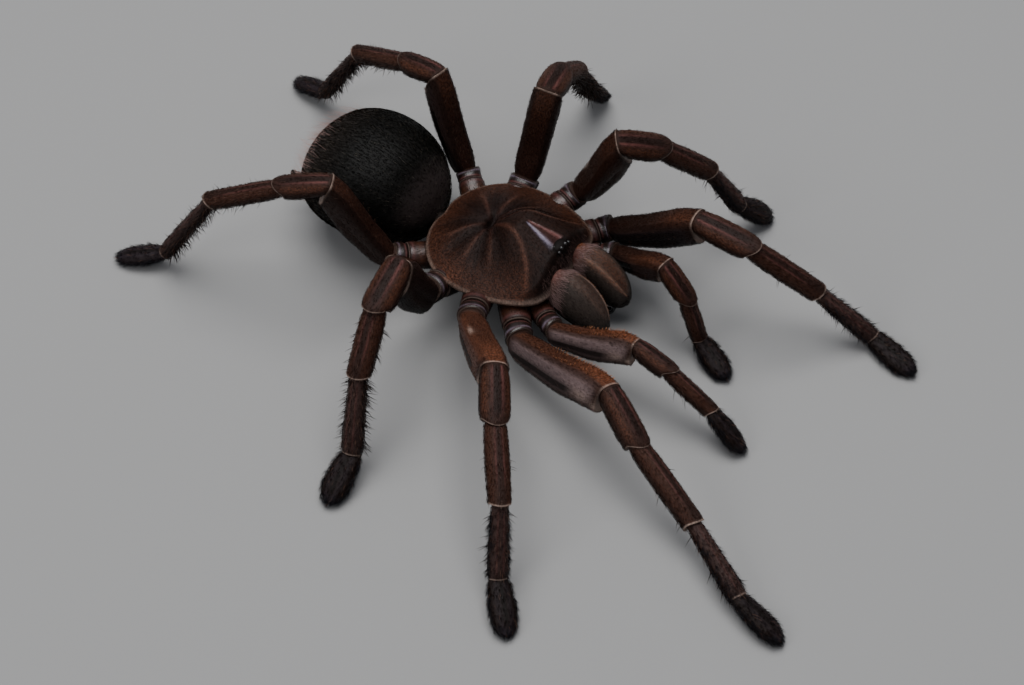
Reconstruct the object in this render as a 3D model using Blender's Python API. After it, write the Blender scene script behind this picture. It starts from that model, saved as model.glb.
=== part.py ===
"""A still, life-size tarantula of the goliath birdeater kind, standing on ten small flats.

The head faces -Y, the spider's own left is +X, and the floor is z = 0. Sizes in the tables are
millimetres and degrees; MM turns them into Blender's metres where a mesh is made. Every solid
reaches out to the tips of the short coat, and neighbours keep a gap of GAP between them.
"""

import math

import bmesh
import bpy
from mathutils import Matrix, Vector

MM = 0.001
GAP = 0.3

# Length along the limb of each segment, from the hip joint to the claws.
LEG_LENGTHS = {
    1: {"femur": 30.1, "patella": 13.2, "tibia": 21.1, "metatarsus": 18.5, "tarsus": 12.7},
    2: {"femur": 30.3, "patella": 11.7, "tibia": 17.9, "metatarsus": 16.5, "tarsus": 12.5},
    3: {"femur": 25.3, "patella": 11.2, "tibia": 15.1, "metatarsus": 18.5, "tarsus": 11.9},
    4: {"femur": 27.3, "patella": 11.1, "tibia": 19.4, "metatarsus": 26.6, "tarsus": 12.0},
}
PALP_LENGTHS = {"femur": 21.0, "patella": 8.8, "tibia": 13.2, "tarsus": 11.3}

# Hip joint: forward of the body's middle, out from its midline, and above the floor.
LEG_HIPS = {1: (17.4, 20.3, 11.2), 2: (6.3, 23.1, 14.4), 3: (-6.8, 20.9, 14.0), 4: (-20.3, 16.2, 13.4)}
PALP_HIP = (22.5, 13.8, 11.4)

# Inner end of each coxa, where it meets the breastplate, in the same three directions.
LEG_ROOTS = {1: (6.5, 7.0, 9.6), 2: (0.5, 8.0, 9.8), 3: (-5.0, 8.0, 9.8), 4: (-10.0, 6.5, 10.0)}
PALP_ROOT = (12.0, 7.2, 9.4)

# Pose of each limb: heading and pitch of every segment, in degrees. A heading of 0 points
# forward and a positive one turns to the spider's left. A pitch of DOWN_TO_FLOOR is worked
# out so that the foot beyond it reaches the floor.
DOWN_TO_FLOOR = None
LEG_POSES = {
    ("right", 1): ((-16, 15), (-29, -21), (-22, -18), (-29, DOWN_TO_FLOOR), (-16, -10)),
    ("right", 2): ((-46, 27), (-57, -18), (-54, -23), (-60, DOWN_TO_FLOOR), (-49, -14)),
    ("right", 3): ((-82, 58), (-83, -14), (-79, -45), (-70, DOWN_TO_FLOOR), (-84, -23)),
    ("right", 4): ((-144, 62), (-157, -15), (-159, -24), (-165, DOWN_TO_FLOOR), (-153, -14)),
    ("left", 1): ((-7, 37), (1, -6), (27, -39), (18, DOWN_TO_FLOOR), (-17, -6)),
    ("left", 2): ((-19, 63), (55, -29), (53, -42), (46, DOWN_TO_FLOOR), (59, -41)),
    ("left", 3): ((66, 76), (106, -21), (100, -37), (98, DOWN_TO_FLOOR), (104, -46)),
    ("left", 4): ((173, 72), (166, -18), (168, -25), (168, DOWN_TO_FLOOR), (165, -19)),
}
PALP_POSES = {
    "right": ((5, 13), (-4, -15), (-2, DOWN_TO_FLOOR), (-9, -33)),
    "left": ((-22, 32), (-5, -47), (5, DOWN_TO_FLOOR), (-28, -11)),
}
CLAW_HEIGHT = 1.5

# Greatest width of each segment of a leg, its greatest reach above and below the line of the
# joints, and how thick each pair of limbs is beside the first.
SECTIONS = {
    "coxa": (7.8, 3.4, 3.8),
    "femur": (7.4, 2.3, 6.6),
    "patella": (7.3, 3.1, 3.4),
    "tibia": (5.8, 2.7, 2.8),
    "metatarsus": (5.6, 2.4, 2.6),
    "tarsus": (6.6, 2.2, 2.1),
}
GIRTHS = {1: 1.0, 2: 1.02, 3: 1.08, 4: 0.92}
PALP_GIRTH = 0.82
PALP_FOOT_GIRTH = 0.95

# How full a segment is along its length: (fraction of the length, fraction of the section).
PROFILES = {
    "coxa": ((0.0, 0.9), (0.6, 1.0), (1.0, 0.86)),
    "femur": ((0.0, 0.80), (0.12, 0.94), (0.5, 1.0), (0.88, 0.98), (1.0, 0.88)),
    "patella": ((0.0, 0.80), (0.18, 0.92), (0.55, 1.0), (0.85, 1.0), (1.0, 0.86)),
    "tibia": ((0.0, 0.84), (0.15, 0.96), (0.5, 1.0), (0.85, 0.97), (1.0, 0.88)),
    "metatarsus": ((0.0, 0.76), (0.2, 0.82), (0.6, 1.04), (0.88, 1.0), (1.0, 0.84)),
    "tarsus": ((0.0, 0.74), (0.2, 0.91), (0.6, 1.0), (0.88, 0.80), (1.0, 0.38)),
}
LIMB_SIDES = 12
END_BLEND = 2.0
CREASE_ANGLE = 50

# Carapace: half its outline, as (forward, out) from the middle of the brow to the rear.
CARAPACE_OUTLINE = (
    (18.3, 0.0), (18.4, 5.0), (18.2, 9.2), (16.8, 12.6), (13.2, 15.2), (8.0, 17.2), (2.5, 18.1),
    (-2.5, 18.1), (-7.5, 16.8), (-12.0, 13.6), (-15.2, 9.0), (-16.6, 4.2), (-16.2, 0.0),
)
CARAPACE_UNDERSIDE = 13.7
CARAPACE_MARGIN = 15.3
CARAPACE_CROWN = 23.2
FOVEA_FORWARD = -3.0
# The raised head: where it starts and is full behind, where it is full and ends in front, its
# half width at the middle of the body, how much wider that gets for each millimetre forward, and
# how flat its crown is.
HEAD_BEHIND, HEAD_FRONT, HEAD_RISE = (-3.5, 6.5), (15.6, 19.6), 6.4
HEAD_HALF_WIDTH, HEAD_SPREAD, HEAD_RIM, HEAD_FLATNESS = 7.2, 0.25, 0.10, 2.8
# Mound behind the head and pit of the fovea: (middle, half length, half width). The shares are
# parts of the rise from margin to crown: one for the whole shield, one more for the mound.
THORAX_MOUND = (-5.0, 12.0, 13.0)
FOVEA_PIT, FOVEA_DEPTH = (FOVEA_FORWARD, 1.6, 3.6), 1.4
BASE_SHARE, THORAX_SHARE = 0.45, 0.25
# How soon the rise is full on the way in, and how round its edge is.
RISE_REACH, RISE_ROUNDNESS = 1.15, 0.9
CARAPACE_RINGS = (0.0, 0.05, 0.12, 0.28, 0.50, 0.72, 0.90)
RINGS_MIDDLE = 0.5 * FOVEA_FORWARD

# Eye tubercle: centre, half length, half width and top.
EYES_FORWARD = 15.3
EYES_SIZE = (1.8, 2.7)
EYES_TOP = 24.0
EYES_DEPTH = 3.0
EYES_SIDES = 14
EYES_DOME = ((0.0, 1.0), (0.55, 1.0), (0.8, 0.84), (0.95, 0.5))
ABOVE_ALL = 30.0

# Chelicera: the line through its middle, from the brow to the fang's hinge, how high that line
# arches, and its sections as (fraction, half width, half height).
CHELICERA_START = (18.7, 4.75, 13.5)
CHELICERA_END = (31.6, 4.75, 8.8)
CHELICERA_ARCH = 1.0
CHELICERA_PROFILE = (
    (0.0, 4.0, 5.8), (0.15, 4.4, 6.7), (0.33, 4.5, 7.0), (0.55, 4.4, 6.6), (0.75, 3.9, 5.5),
    (0.91, 2.8, 3.8), (1.0, 1.3, 1.7),
)
CHELICERA_SIDES, FANG_SIDES = 14, 8
FANG_ROUTE = ((28.2, 4.2, 3.8), (26.8, 4.0, 2.9), (24.4, 3.6, 2.4), (21.6, 3.2, 2.7), (19.0, 2.8, 3.4))
FANG_RADII = (0.9, 1.1, 1.0, 0.7, 0.25)

# Abdomen sections: (back from the body's middle, height of its centre, half width, half height).
ABDOMEN_SECTIONS = (
    (17.4, 12.6, 2.4, 2.2), (18.8, 13.6, 7.0, 5.7), (21.6, 15.0, 11.4, 9.3), (26.5, 16.6, 15.0, 12.2),
    (33.0, 17.4, 17.1, 13.4), (39.5, 17.6, 17.0, 13.5), (45.5, 17.3, 15.0, 12.0), (50.0, 16.6, 11.2, 9.1),
    (53.2, 15.8, 5.4, 4.6),
)
ABDOMEN_MIDDLE = (-33.5, 0.0, 16.8)
ABDOMEN_SIDES, SPINNERET_SIDES = 24, 8
SPINNERET_SIZE, SPINNERET_TAPER = 1.5, 0.18
SPINNERET_ROUTE = ((48.6, 2.2, 9.6), (52.0, 2.6, 8.4), (55.2, 3.3, 8.4), (58.4, 4.1, 9.6))

STERNUM_SECTIONS = (
    (-13.0, 3.6, 2.6), (-11.0, 7.2, 3.4), (-5.0, 10.2, 3.9), (3.0, 10.4, 3.9), (9.0, 8.2, 3.6),
    (13.5, 5.2, 2.8), (15.5, 3.0, 1.8),
)
STERNUM_HEIGHT, STERNUM_SIDES = 10.0, 16

VELVET = (0.105, 0.052, 0.030)
DARK_VELVET = (0.045, 0.034, 0.028)
BLACK_PAD = (0.020, 0.018, 0.018)
CARAPACE_BROWN = (0.090, 0.050, 0.032)
ABDOMEN_BROWN = (0.050, 0.043, 0.034)
JAW_GREY = (0.150, 0.110, 0.090)
HORN_BLACK = (0.012, 0.010, 0.010)


def clear_scene():
    for old in list(bpy.data.objects):
        bpy.data.objects.remove(old, do_unlink=True)


def body_point(forward, left, up):
    """Turns forward, left and up into the model's own axes, in millimetres."""
    return Vector((left, -forward, up))


def limb_point(side, place):
    forward, out, up = place
    return body_point(forward, out if side == "left" else -out, up)


def aim(heading, pitch):
    turn, lift = math.radians(heading), math.radians(pitch)
    return body_point(math.cos(turn) * math.cos(lift), math.sin(turn) * math.cos(lift), math.sin(lift))


def interpolate(points, t):
    """Value at t of a smooth curve through (place, value, ...) points, as a tuple of the values."""
    places = [point[0] for point in points]
    last = len(points) - 1
    span = max(0, min(last - 1, sum(place <= t for place in places) - 1))
    before, start, end, after = (points[max(0, min(last, span + k))] for k in (-1, 0, 1, 2))
    width = end[0] - start[0]
    u = (t - start[0]) / width
    values = []
    for k in range(1, len(start)):
        leave = (end[k] - before[k]) / (end[0] - before[0]) * width
        arrive = (after[k] - start[k]) / (after[0] - start[0]) * width
        values.append(
            (2 * u**3 - 3 * u**2 + 1) * start[k] + (u**3 - 2 * u**2 + u) * leave
            + (3 * u**2 - 2 * u**3) * end[k] + (u**3 - u**2) * arrive
        )
    return tuple(values)


def make_object(name, rings, colour, roughness, origin):
    """One closed loft through the rings, in millimetres, with flat ends and its own material."""
    mesh_builder = bmesh.new()
    loops = []
    for ring in rings:
        loops.append([mesh_builder.verts.new((point - origin) * MM) for point in ring])
    sides = len(rings[0])
    for lower, upper in zip(loops, loops[1:]):
        for k in range(sides):
            after = (k + 1) % sides
            mesh_builder.faces.new((lower[k], lower[after], upper[after], upper[k]))
    mesh_builder.faces.new(loops[0])
    mesh_builder.faces.new(loops[-1])
    bmesh.ops.recalc_face_normals(mesh_builder, faces=mesh_builder.faces[:])
    bmesh.ops.triangulate(mesh_builder, faces=mesh_builder.faces[:], quad_method="SHORT_EDGE")
    mesh = bpy.data.meshes.new(name)
    mesh_builder.to_mesh(mesh)
    mesh_builder.free()
    piece = bpy.data.objects.new(name, mesh)
    piece.location = origin * MM
    bpy.context.collection.objects.link(piece)
    finish(piece, colour, roughness)
    return piece


def finish(piece, colour, roughness):
    material = bpy.data.materials.new(piece.name + "_finish")
    material.use_nodes = True
    shader = material.node_tree.nodes["Principled BSDF"]
    shader.inputs["Base Color"].default_value = (*colour, 1.0)
    shader.inputs["Roughness"].default_value = roughness
    shader.inputs["Metallic"].default_value = 0.0
    piece.data.materials.clear()
    piece.data.materials.append(material)
    piece.data.shade_smooth()
    piece.data.set_sharp_from_angle(angle=math.radians(CREASE_ANGLE))


def cut(piece, cutter, operation="DIFFERENCE"):
    """Applies one exact Boolean to the piece and throws the cutter away."""
    cutter.hide_render = True
    cutter.display_type = "WIRE"
    step = piece.modifiers.new(operation.lower(), "BOOLEAN")
    step.operation = operation
    step.solver = "EXACT"
    step.object = cutter
    bpy.context.view_layer.update()
    result = bpy.data.meshes.new_from_object(piece.evaluated_get(bpy.context.evaluated_depsgraph_get()))
    piece.modifiers.remove(step)
    piece.data = result
    bpy.data.objects.remove(cutter, do_unlink=True)


def frames_along(joints):
    """Direction, sideways and upward axes of every segment between the joints."""
    directions = [(end - start).normalized() for start, end in zip(joints, joints[1:])]
    knee = directions[1].cross(directions[0]).normalized()
    frames = []
    for along in directions:
        sideways = (knee - along * knee.dot(along)).normalized()
        frames.append((along, sideways, sideways.cross(along)))
    if sum(upward.z for _, _, upward in frames[1:]) < 0:
        frames = [(along, -sideways, -upward) for along, sideways, upward in frames]
    return frames


def segment_rings(start, frame, length, section, profile, planes):
    """Rings of one limb segment. planes holds the normals that its two ends are cut along."""
    along, sideways, upward = frame
    width, above, below = section
    rings = []
    bends = [math.acos(max(-1.0, min(1.0, abs(along.dot(normal))))) for normal in planes]
    for t, fullness in profile:
        ring = []
        for k in range(LIMB_SIDES):
            turn = 2 * math.pi * (k + 0.5) / LIMB_SIDES
            across = 0.5 * width * fullness * math.cos(turn)
            rise = (above if math.sin(turn) > 0 else below) * fullness * math.sin(turn)
            if rise > 0:
                near, far = (1 - t) ** 3, t**3
                rise *= 1 - near * (1 - math.cos(bends[0])) - far * (1 - math.cos(bends[1]))
            offset = sideways * across + upward * rise
            first = (0.5 * GAP - offset.dot(planes[0])) / along.dot(planes[0])
            last = (-0.5 * GAP - offset.dot(planes[1])) / along.dot(planes[1])
            place = length * t + first * (1 - t) ** END_BLEND + last * t**END_BLEND
            ring.append(start + along * place + offset)
        rings.append(ring)
    return rings


def limb_joints(start, lengths, pose):
    """Joint centres from the hip to the claws; the one free pitch lets the foot down to the floor."""
    joints = [start]
    foot_drop = -lengths[-1] * math.sin(math.radians(pose[-1][1]))
    for length, (heading, pitch) in zip(lengths, pose):
        if pitch is DOWN_TO_FLOOR:
            drop = joints[-1].z - CLAW_HEIGHT - foot_drop
            pitch = -math.degrees(math.asin(drop / length))
        joints.append(joints[-1] + aim(heading, pitch) * length)
    return joints


def limb(prefix, root, lengths, pose, girth):
    """Makes every free segment of one limb, and returns the rings of its coxa."""
    hip, names = root[1], list(lengths)
    joints = [root[0]] + limb_joints(hip, list(lengths.values()), pose)
    frames = frames_along(joints[1:])
    coxa_along = (joints[1] - joints[0]).normalized()
    coxa_side = coxa_along.cross(Vector((0, 0, 1))).normalized()
    frames.insert(0, (coxa_along, coxa_side, coxa_side.cross(coxa_along)))
    planes = [coxa_along]
    for before, after in zip(frames, frames[1:]):
        planes.append((before[0] + after[0]).normalized())
    planes.append(frames[-1][0])
    coxa_rings = []
    for k, name in enumerate(["coxa"] + names):
        length = (joints[k + 1] - joints[k]).length
        girth_here = PALP_FOOT_GIRTH if name == "tarsus" and prefix.endswith("palp") else girth
        section = tuple(size * girth_here for size in SECTIONS[name])
        rings = segment_rings(joints[k], frames[k], length, section, PROFILES[name], planes[k : k + 2])
        if name == "coxa":
            coxa_rings = rings
            continue
        if name == "tarsus":
            for ring in rings:
                for point in ring:
                    point.z = max(point.z, 0.0)
        colour = {"tarsus": BLACK_PAD, "metatarsus": DARK_VELVET}.get(name, VELVET)
        make_object(prefix + "_" + name, rings, colour, 0.75, joints[k])
    return coxa_rings


def oval_rings(sections, sides):
    """Rings across the body from (forward, left, up, half width, half height) sections."""
    rings = []
    for forward, left, up, half_width, half_height in sections:
        ring = []
        for k in range(sides):
            turn = 2 * math.pi * (k + 0.5) / sides
            ring.append(body_point(
                forward, left + half_width * math.cos(turn), up + half_height * math.sin(turn)
            ))
        rings.append(ring)
    return rings


def carapace_outline(grow=0.0, steps=4):
    """The whole outline as (forward, left), smooth, going round from the brow over the left side."""
    half = []
    keyed = [(float(k), *point) for k, point in enumerate(CARAPACE_OUTLINE)]
    for k in range((len(keyed) - 1) * steps):
        half.append(interpolate(keyed, k / steps))
    half.append(CARAPACE_OUTLINE[-1])
    whole = half + [(forward, -out) for forward, out in reversed(half[1:-1])]
    grown = []
    for forward, left in whole:
        reach = math.hypot(forward, left)
        grown.append((forward * (1 + grow / reach), left * (1 + grow / reach)))
    return grown


def mound(forward, left, shape):
    """A round hill, 1 at its top. shape is its middle, its half length and its half width."""
    middle, half_length, half_width = shape
    return math.exp(-(((forward - middle) / half_length) ** 2) - (left / half_width) ** 2)


def smooth_step(low, high, value):
    u = max(0.0, min(1.0, (value - low) / (high - low)))
    return u * u * (3 - 2 * u)


def head_dome(forward, left, inward):
    """The raised head, 1 along its crown: it falls steeply to the brow and gently to the sides."""
    lengthways = smooth_step(*HEAD_BEHIND, forward) * (1 - smooth_step(*HEAD_FRONT, forward))
    half_width = HEAD_HALF_WIDTH + HEAD_SPREAD * max(0.0, forward)
    across = math.exp(-(abs(left / half_width) ** HEAD_FLATNESS))
    return lengthways * across * smooth_step(0.0, HEAD_RIM, inward)


def carapace_height(forward, left, inward):
    """Height of the carapace where inward runs from 0 at the margin to 1 at the middle."""
    turn = 0.5 * math.pi * min(1.0, inward * RISE_REACH)
    rise = (CARAPACE_CROWN - CARAPACE_MARGIN) * math.sin(turn) ** RISE_ROUNDNESS
    thorax, pit = mound(forward, left, THORAX_MOUND), mound(forward, left, FOVEA_PIT)
    height = CARAPACE_MARGIN + rise * (BASE_SHARE + THORAX_SHARE * thorax)
    return height + HEAD_RISE * head_dome(forward, left, inward) - FOVEA_DEPTH * pit


def make_carapace():
    outline = carapace_outline(steps=2)
    rings = [[body_point(forward, left, CARAPACE_UNDERSIDE) for forward, left in outline]]
    for inward in CARAPACE_RINGS:
        ring = []
        for forward, left in outline:
            x = forward * (1 - inward) + inward * RINGS_MIDDLE
            y = left * (1 - inward)
            ring.append(body_point(x, y, carapace_height(x, y, inward)))
        rings.append(ring)
    return make_object("carapace", rings, CARAPACE_BROWN, 0.6, body_point(0, 0, CARAPACE_UNDERSIDE))


def eye_ring(half_length, half_width, height):
    turns = [2 * math.pi * k / EYES_SIDES for k in range(EYES_SIDES)]
    return [
        body_point(EYES_FORWARD + half_length * math.cos(turn), half_width * math.sin(turn), height)
        for turn in turns
    ]


def make_eyes(carapace):
    """The low dome that carries the eyes, standing in a pocket of the carapace."""
    half_length, half_width = EYES_SIZE
    floor = EYES_TOP - EYES_DEPTH
    rings = []
    for rise, size in EYES_DOME:
        rings.append(eye_ring(half_length * size, half_width * size, floor + rise * EYES_DEPTH))
    make_object("eye_tubercle", rings, HORN_BLACK, 0.2, body_point(EYES_FORWARD, 0, floor))
    pocket = [eye_ring(half_length + GAP, half_width + GAP, height) for height in (floor - GAP, ABOVE_ALL)]
    cut(carapace, make_object("eye_pocket", pocket, HORN_BLACK, 0.5, Vector((0, 0, 0))))


def chelicera_rings(side, grow=0.0):
    sign = 1 if side == "left" else -1
    sections = []
    for t, half_width, half_height in CHELICERA_PROFILE:
        forward, out, up = (a + (b - a) * t for a, b in zip(CHELICERA_START, CHELICERA_END))
        up += CHELICERA_ARCH * math.sin(math.pi * t)
        sections.append((forward, sign * out, up, half_width + grow, half_height + grow))
    if grow:
        first, last = sections[0], sections[-1]
        sections.insert(0, (first[0] - grow, *first[1:]))
        sections.append((last[0] + grow, *last[1:]))
    return oval_rings(sections, CHELICERA_SIDES)


def make_fang(side):
    sections = []
    sign = 1 if side == "left" else -1
    for (forward, out, up), radius in zip(FANG_ROUTE, FANG_RADII):
        sections.append((forward, sign * out, up, radius, radius))
    origin = limb_point(side, FANG_ROUTE[0])
    return make_object(side + "_fang", oval_rings(sections, FANG_SIDES), HORN_BLACK, 0.15, origin)


def make_prosoma_base(coxae):
    """Breastplate, lip and all ten coxae in one piece, cut clear of the carapace and the jaws."""
    plate = [(forward, 0.0, STERNUM_HEIGHT, width, height) for forward, width, height in STERNUM_SECTIONS]
    base = make_object(
        "sternum_and_coxae", oval_rings(plate, STERNUM_SIDES), DARK_VELVET, 0.75,
        body_point(0, 0, STERNUM_HEIGHT),
    )
    for k, rings in enumerate(coxae):
        cut(base, make_object(f"coxa_{k}", rings, DARK_VELVET, 0.75, rings[0][0].copy()), "UNION")
    outline = carapace_outline(grow=GAP, steps=1)
    lid = []
    for height in (CARAPACE_UNDERSIDE - GAP, ABOVE_ALL):
        lid.append([body_point(x, y, height) for x, y in outline])
    cut(base, make_object("lid_cutter", lid, DARK_VELVET, 0.75, Vector((0, 0, 0))))
    for side in ("left", "right"):
        jaw = chelicera_rings(side, GAP)
        cut(base, make_object(side + "_jaw_cutter", jaw, JAW_GREY, 0.75, Vector((0, 0, 0))))
    finish(base, DARK_VELVET, 0.75)
    return base


def make_abdomen():
    """The abdomen, with a pocket for each spinneret to stand in."""
    sections = [(-back, 0.0, up, width, height) for back, up, width, height in ABDOMEN_SECTIONS]
    abdomen = make_object(
        "abdomen", oval_rings(sections, ABDOMEN_SIDES), ABDOMEN_BROWN, 0.85, body_point(*ABDOMEN_MIDDLE)
    )
    for side in ("left", "right"):
        pocket = spinneret_rings(side, GAP)
        cut(abdomen, make_object(side + "_pocket", pocket, DARK_VELVET, 0.7, Vector((0, 0, 0))))


def spinneret_rings(side, grow=0.0):
    sign = 1 if side == "left" else -1
    sections = []
    for k, (back, out, up) in enumerate(SPINNERET_ROUTE):
        size = SPINNERET_SIZE * (1.0 - SPINNERET_TAPER * k) + grow
        sections.append((-back + (grow if k == 0 else 0.0), sign * out, up, size, size))
    return oval_rings(sections, SPINNERET_SIDES)


def make_spinneret(side):
    back, out, up = SPINNERET_ROUTE[0]
    return make_object(
        side + "_spinneret", spinneret_rings(side), DARK_VELVET, 0.7, limb_point(side, (-back, out, up))
    )


def stand_on_origin():
    """Hangs every piece from one empty and moves it so that the box's bottom centre is the origin."""
    corners = []
    pieces = list(bpy.context.collection.objects)
    bpy.context.view_layer.update()
    for piece in pieces:
        corners += [piece.matrix_world @ vertex.co for vertex in piece.data.vertices]
    lowest = Vector([min(corner[axis] for corner in corners) for axis in range(3)])
    highest = Vector([max(corner[axis] for corner in corners) for axis in range(3)])
    root = bpy.data.objects.new("tarantula", None)
    bpy.context.collection.objects.link(root)
    for piece in pieces:
        piece.parent = root
        piece.matrix_parent_inverse = Matrix.Identity(4)
    root.location = (-0.5 * (lowest.x + highest.x), -0.5 * (lowest.y + highest.y), -lowest.z)


def main():
    clear_scene()
    coxae = []
    for (side, number), pose in LEG_POSES.items():
        root = (limb_point(side, LEG_ROOTS[number]), limb_point(side, LEG_HIPS[number]))
        coxae.append(limb(f"{side}_leg_{number}", root, LEG_LENGTHS[number], pose, GIRTHS[number]))
    for side, pose in PALP_POSES.items():
        root = (limb_point(side, PALP_ROOT), limb_point(side, PALP_HIP))
        coxae.append(limb(f"{side}_palp", root, PALP_LENGTHS, pose, PALP_GIRTH))
    make_prosoma_base(coxae)
    make_eyes(make_carapace())
    for side in ("left", "right"):
        brow = limb_point(side, CHELICERA_START)
        make_object(side + "_chelicera", chelicera_rings(side), JAW_GREY, 0.6, brow)
        make_fang(side)
        make_spinneret(side)
    make_abdomen()
    stand_on_origin()


main()
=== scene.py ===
# %% [markdown]
# # A goliath birdeater tarantula, still and life size
#
# This lesson builds the looks of a large ground spider round a finished set of plain solids.
# A tarantula is a suit of hard hollow tubes and plates, joined by soft skin and covered with
# short velvet and longer bristles. So the work goes in that order: first smooth skins for the
# limbs, jaws, back plate and abdomen, then the markings as named masks on those skins, and
# last a coat of thousands of fine spikes that reads the same masks.

# %% The frame
import math
from types import SimpleNamespace

import bpy
import numpy as np
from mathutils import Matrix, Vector


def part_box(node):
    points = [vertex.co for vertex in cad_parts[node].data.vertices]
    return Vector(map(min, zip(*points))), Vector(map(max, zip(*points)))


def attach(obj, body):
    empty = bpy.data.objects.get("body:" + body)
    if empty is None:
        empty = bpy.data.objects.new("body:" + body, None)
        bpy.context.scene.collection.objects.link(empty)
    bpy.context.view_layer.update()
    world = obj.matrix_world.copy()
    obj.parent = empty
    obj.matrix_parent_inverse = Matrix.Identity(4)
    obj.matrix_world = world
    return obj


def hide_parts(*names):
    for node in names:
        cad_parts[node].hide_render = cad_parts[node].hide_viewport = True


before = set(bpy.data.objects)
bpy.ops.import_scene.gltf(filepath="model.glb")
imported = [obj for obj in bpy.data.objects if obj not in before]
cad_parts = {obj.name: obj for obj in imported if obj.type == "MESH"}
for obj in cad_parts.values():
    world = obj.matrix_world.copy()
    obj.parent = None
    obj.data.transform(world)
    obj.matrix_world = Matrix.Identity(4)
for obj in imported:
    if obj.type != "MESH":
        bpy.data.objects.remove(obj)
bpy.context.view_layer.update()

# %% [markdown]
# ## Where everything is
#
# It is easiest to think in the spider's own directions: millimetres forward of its middle,
# out to its left, and up from the floor. The plain solids already say where that middle is:
# the carapace is centred on it from side to side, and the jaws end a known way in front.

# %% The spider's own directions
MM = 0.001
JAW_END = 31.6
SIDES = {"left": 1, "right": -1}
carapace_low, carapace_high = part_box("carapace")
MIDDLE_X = 0.5 * (carapace_low[0] + carapace_high[0])
MIDDLE_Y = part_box("left_chelicera")[0][1] + JAW_END * MM


def body_point(forward, left, up):
    return np.array([left, -forward, up], dtype=float)


def to_metres(points):
    """Millimetres about the spider's middle to metres in the model's frame."""
    return np.asarray(points) * MM + np.array([MIDDLE_X, MIDDLE_Y, 0.0])


def unit(vector):
    return vector / np.linalg.norm(vector)


print("the spider's middle:", round(MIDDLE_X, 5), round(MIDDLE_Y, 5))

# %% [markdown]
# ## The skeleton of the pose
#
# Ten limbs stand on the floor: eight legs, and two palps beside the jaws that look like short
# legs with one segment fewer. Each limb is a chain of straight tubes, so a pose is one heading
# and one pitch for each tube. The pitch of the last tube but one isn't written down. It is
# worked out so that the foot just reaches the floor.

# %% Lengths, hips and headings
# Legs are numbered from the front, and the palp counts as limb 0.
PALP = 0
LEG_SEGMENTS = ("femur", "patella", "tibia", "metatarsus", "tarsus")
PALP_SEGMENTS = ("femur", "patella", "tibia", "tarsus")
LENGTHS = {
    1: (30.1, 13.2, 21.1, 18.5, 12.7),
    2: (30.3, 11.7, 17.9, 16.5, 12.5),
    3: (25.3, 11.2, 15.1, 18.5, 11.9),
    4: (27.3, 11.1, 19.4, 26.6, 12.0),
    PALP: (21.0, 8.8, 13.2, 11.3),
}
# Forward of the middle, out from the midline, and up: where each femur starts.
HIPS = {
    1: (17.4, 20.3, 11.2), 2: (6.3, 23.1, 14.4), 3: (-6.8, 20.9, 14.0), 4: (-20.3, 16.2, 13.4),
    PALP: (22.5, 13.8, 11.4),
}
# The inner end of each limb, hidden in the trunk.
ROOTS = {
    1: (6.5, 7.0, 9.6), 2: (0.5, 8.0, 9.8), 3: (-5.0, 8.0, 9.8), 4: (-10.0, 6.5, 10.0),
    PALP: (12.0, 7.2, 9.4),
}
# Heading and pitch of every tube from the femur out, in degrees. A heading to the left is positive.
FREE = None
POSES = {
    ("right", 1): ((-16, 15), (-29, -21), (-22, -18), (-29, FREE), (-16, -10)),
    ("right", 2): ((-46, 27), (-57, -18), (-54, -23), (-60, FREE), (-49, -14)),
    ("right", 3): ((-82, 58), (-83, -14), (-79, -45), (-70, FREE), (-84, -23)),
    ("right", 4): ((-144, 62), (-157, -15), (-159, -24), (-165, FREE), (-153, -14)),
    ("left", 1): ((-7, 37), (1, -6), (27, -39), (18, FREE), (-17, -6)),
    ("left", 2): ((-19, 63), (55, -29), (53, -42), (46, FREE), (59, -41)),
    ("left", 3): ((66, 76), (106, -21), (100, -37), (98, FREE), (104, -46)),
    ("left", 4): ((173, 72), (166, -18), (168, -25), (168, FREE), (165, -19)),
    ("right", PALP): ((5, 13), (-4, -15), (-2, FREE), (-9, -33)),
    ("left", PALP): ((-22, 32), (-5, -47), (5, FREE), (-28, -11)),
}
CLAW_HEIGHT = 1.5
TROCHANTER_LENGTH = 3.6
print("tubes from femur to foot:", sum(len(pose) for pose in POSES.values()))


# %% From headings to joints
def aim(heading, pitch):
    turn, lift = math.radians(heading), math.radians(pitch)
    return body_point(math.cos(turn) * math.cos(lift), math.sin(turn) * math.cos(lift), math.sin(lift))


def joints_of(hip, lengths, pose):
    """The hip, each joint beyond it, and the tip of the foot at the height of its claws."""
    joints = [hip]
    foot_drop = -lengths[-1] * math.sin(math.radians(pose[-1][1]))
    for length, (heading, pitch) in zip(lengths, pose):
        if pitch is FREE:
            drop = joints[-1][2] - CLAW_HEIGHT - foot_drop
            pitch = -math.degrees(math.asin(drop / length))
        joints.append(joints[-1] + aim(heading, pitch) * length)
    return joints


def limb_plan(side, number, pose):
    """One limb: its joints from inside the body to the claws, and what lies between them."""
    hip, root = (
        body_point(forward, SIDES[side] * out, up) for forward, out, up in (HIPS[number], ROOTS[number])
    )
    knuckle = hip - unit(hip - root) * TROCHANTER_LENGTH
    segments = PALP_SEGMENTS if number == PALP else LEG_SEGMENTS
    return SimpleNamespace(
        name=f"{side}_palp" if number == PALP else f"{side}_leg_{number}", side=side, number=number,
        segments=("coxa", "trochanter") + segments,
        joints=[root, knuckle] + joints_of(hip, LENGTHS[number], pose),
    )


limbs = [limb_plan(side, number, pose) for (side, number), pose in POSES.items()]
for limb in limbs:
    low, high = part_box(limb.name + "_tarsus")
    tip = to_metres(limb.joints[-1])
    print(limb.name, "claws inside the plain foot:", bool(low[0] - MM < tip[0] < high[0] + MM))

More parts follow.
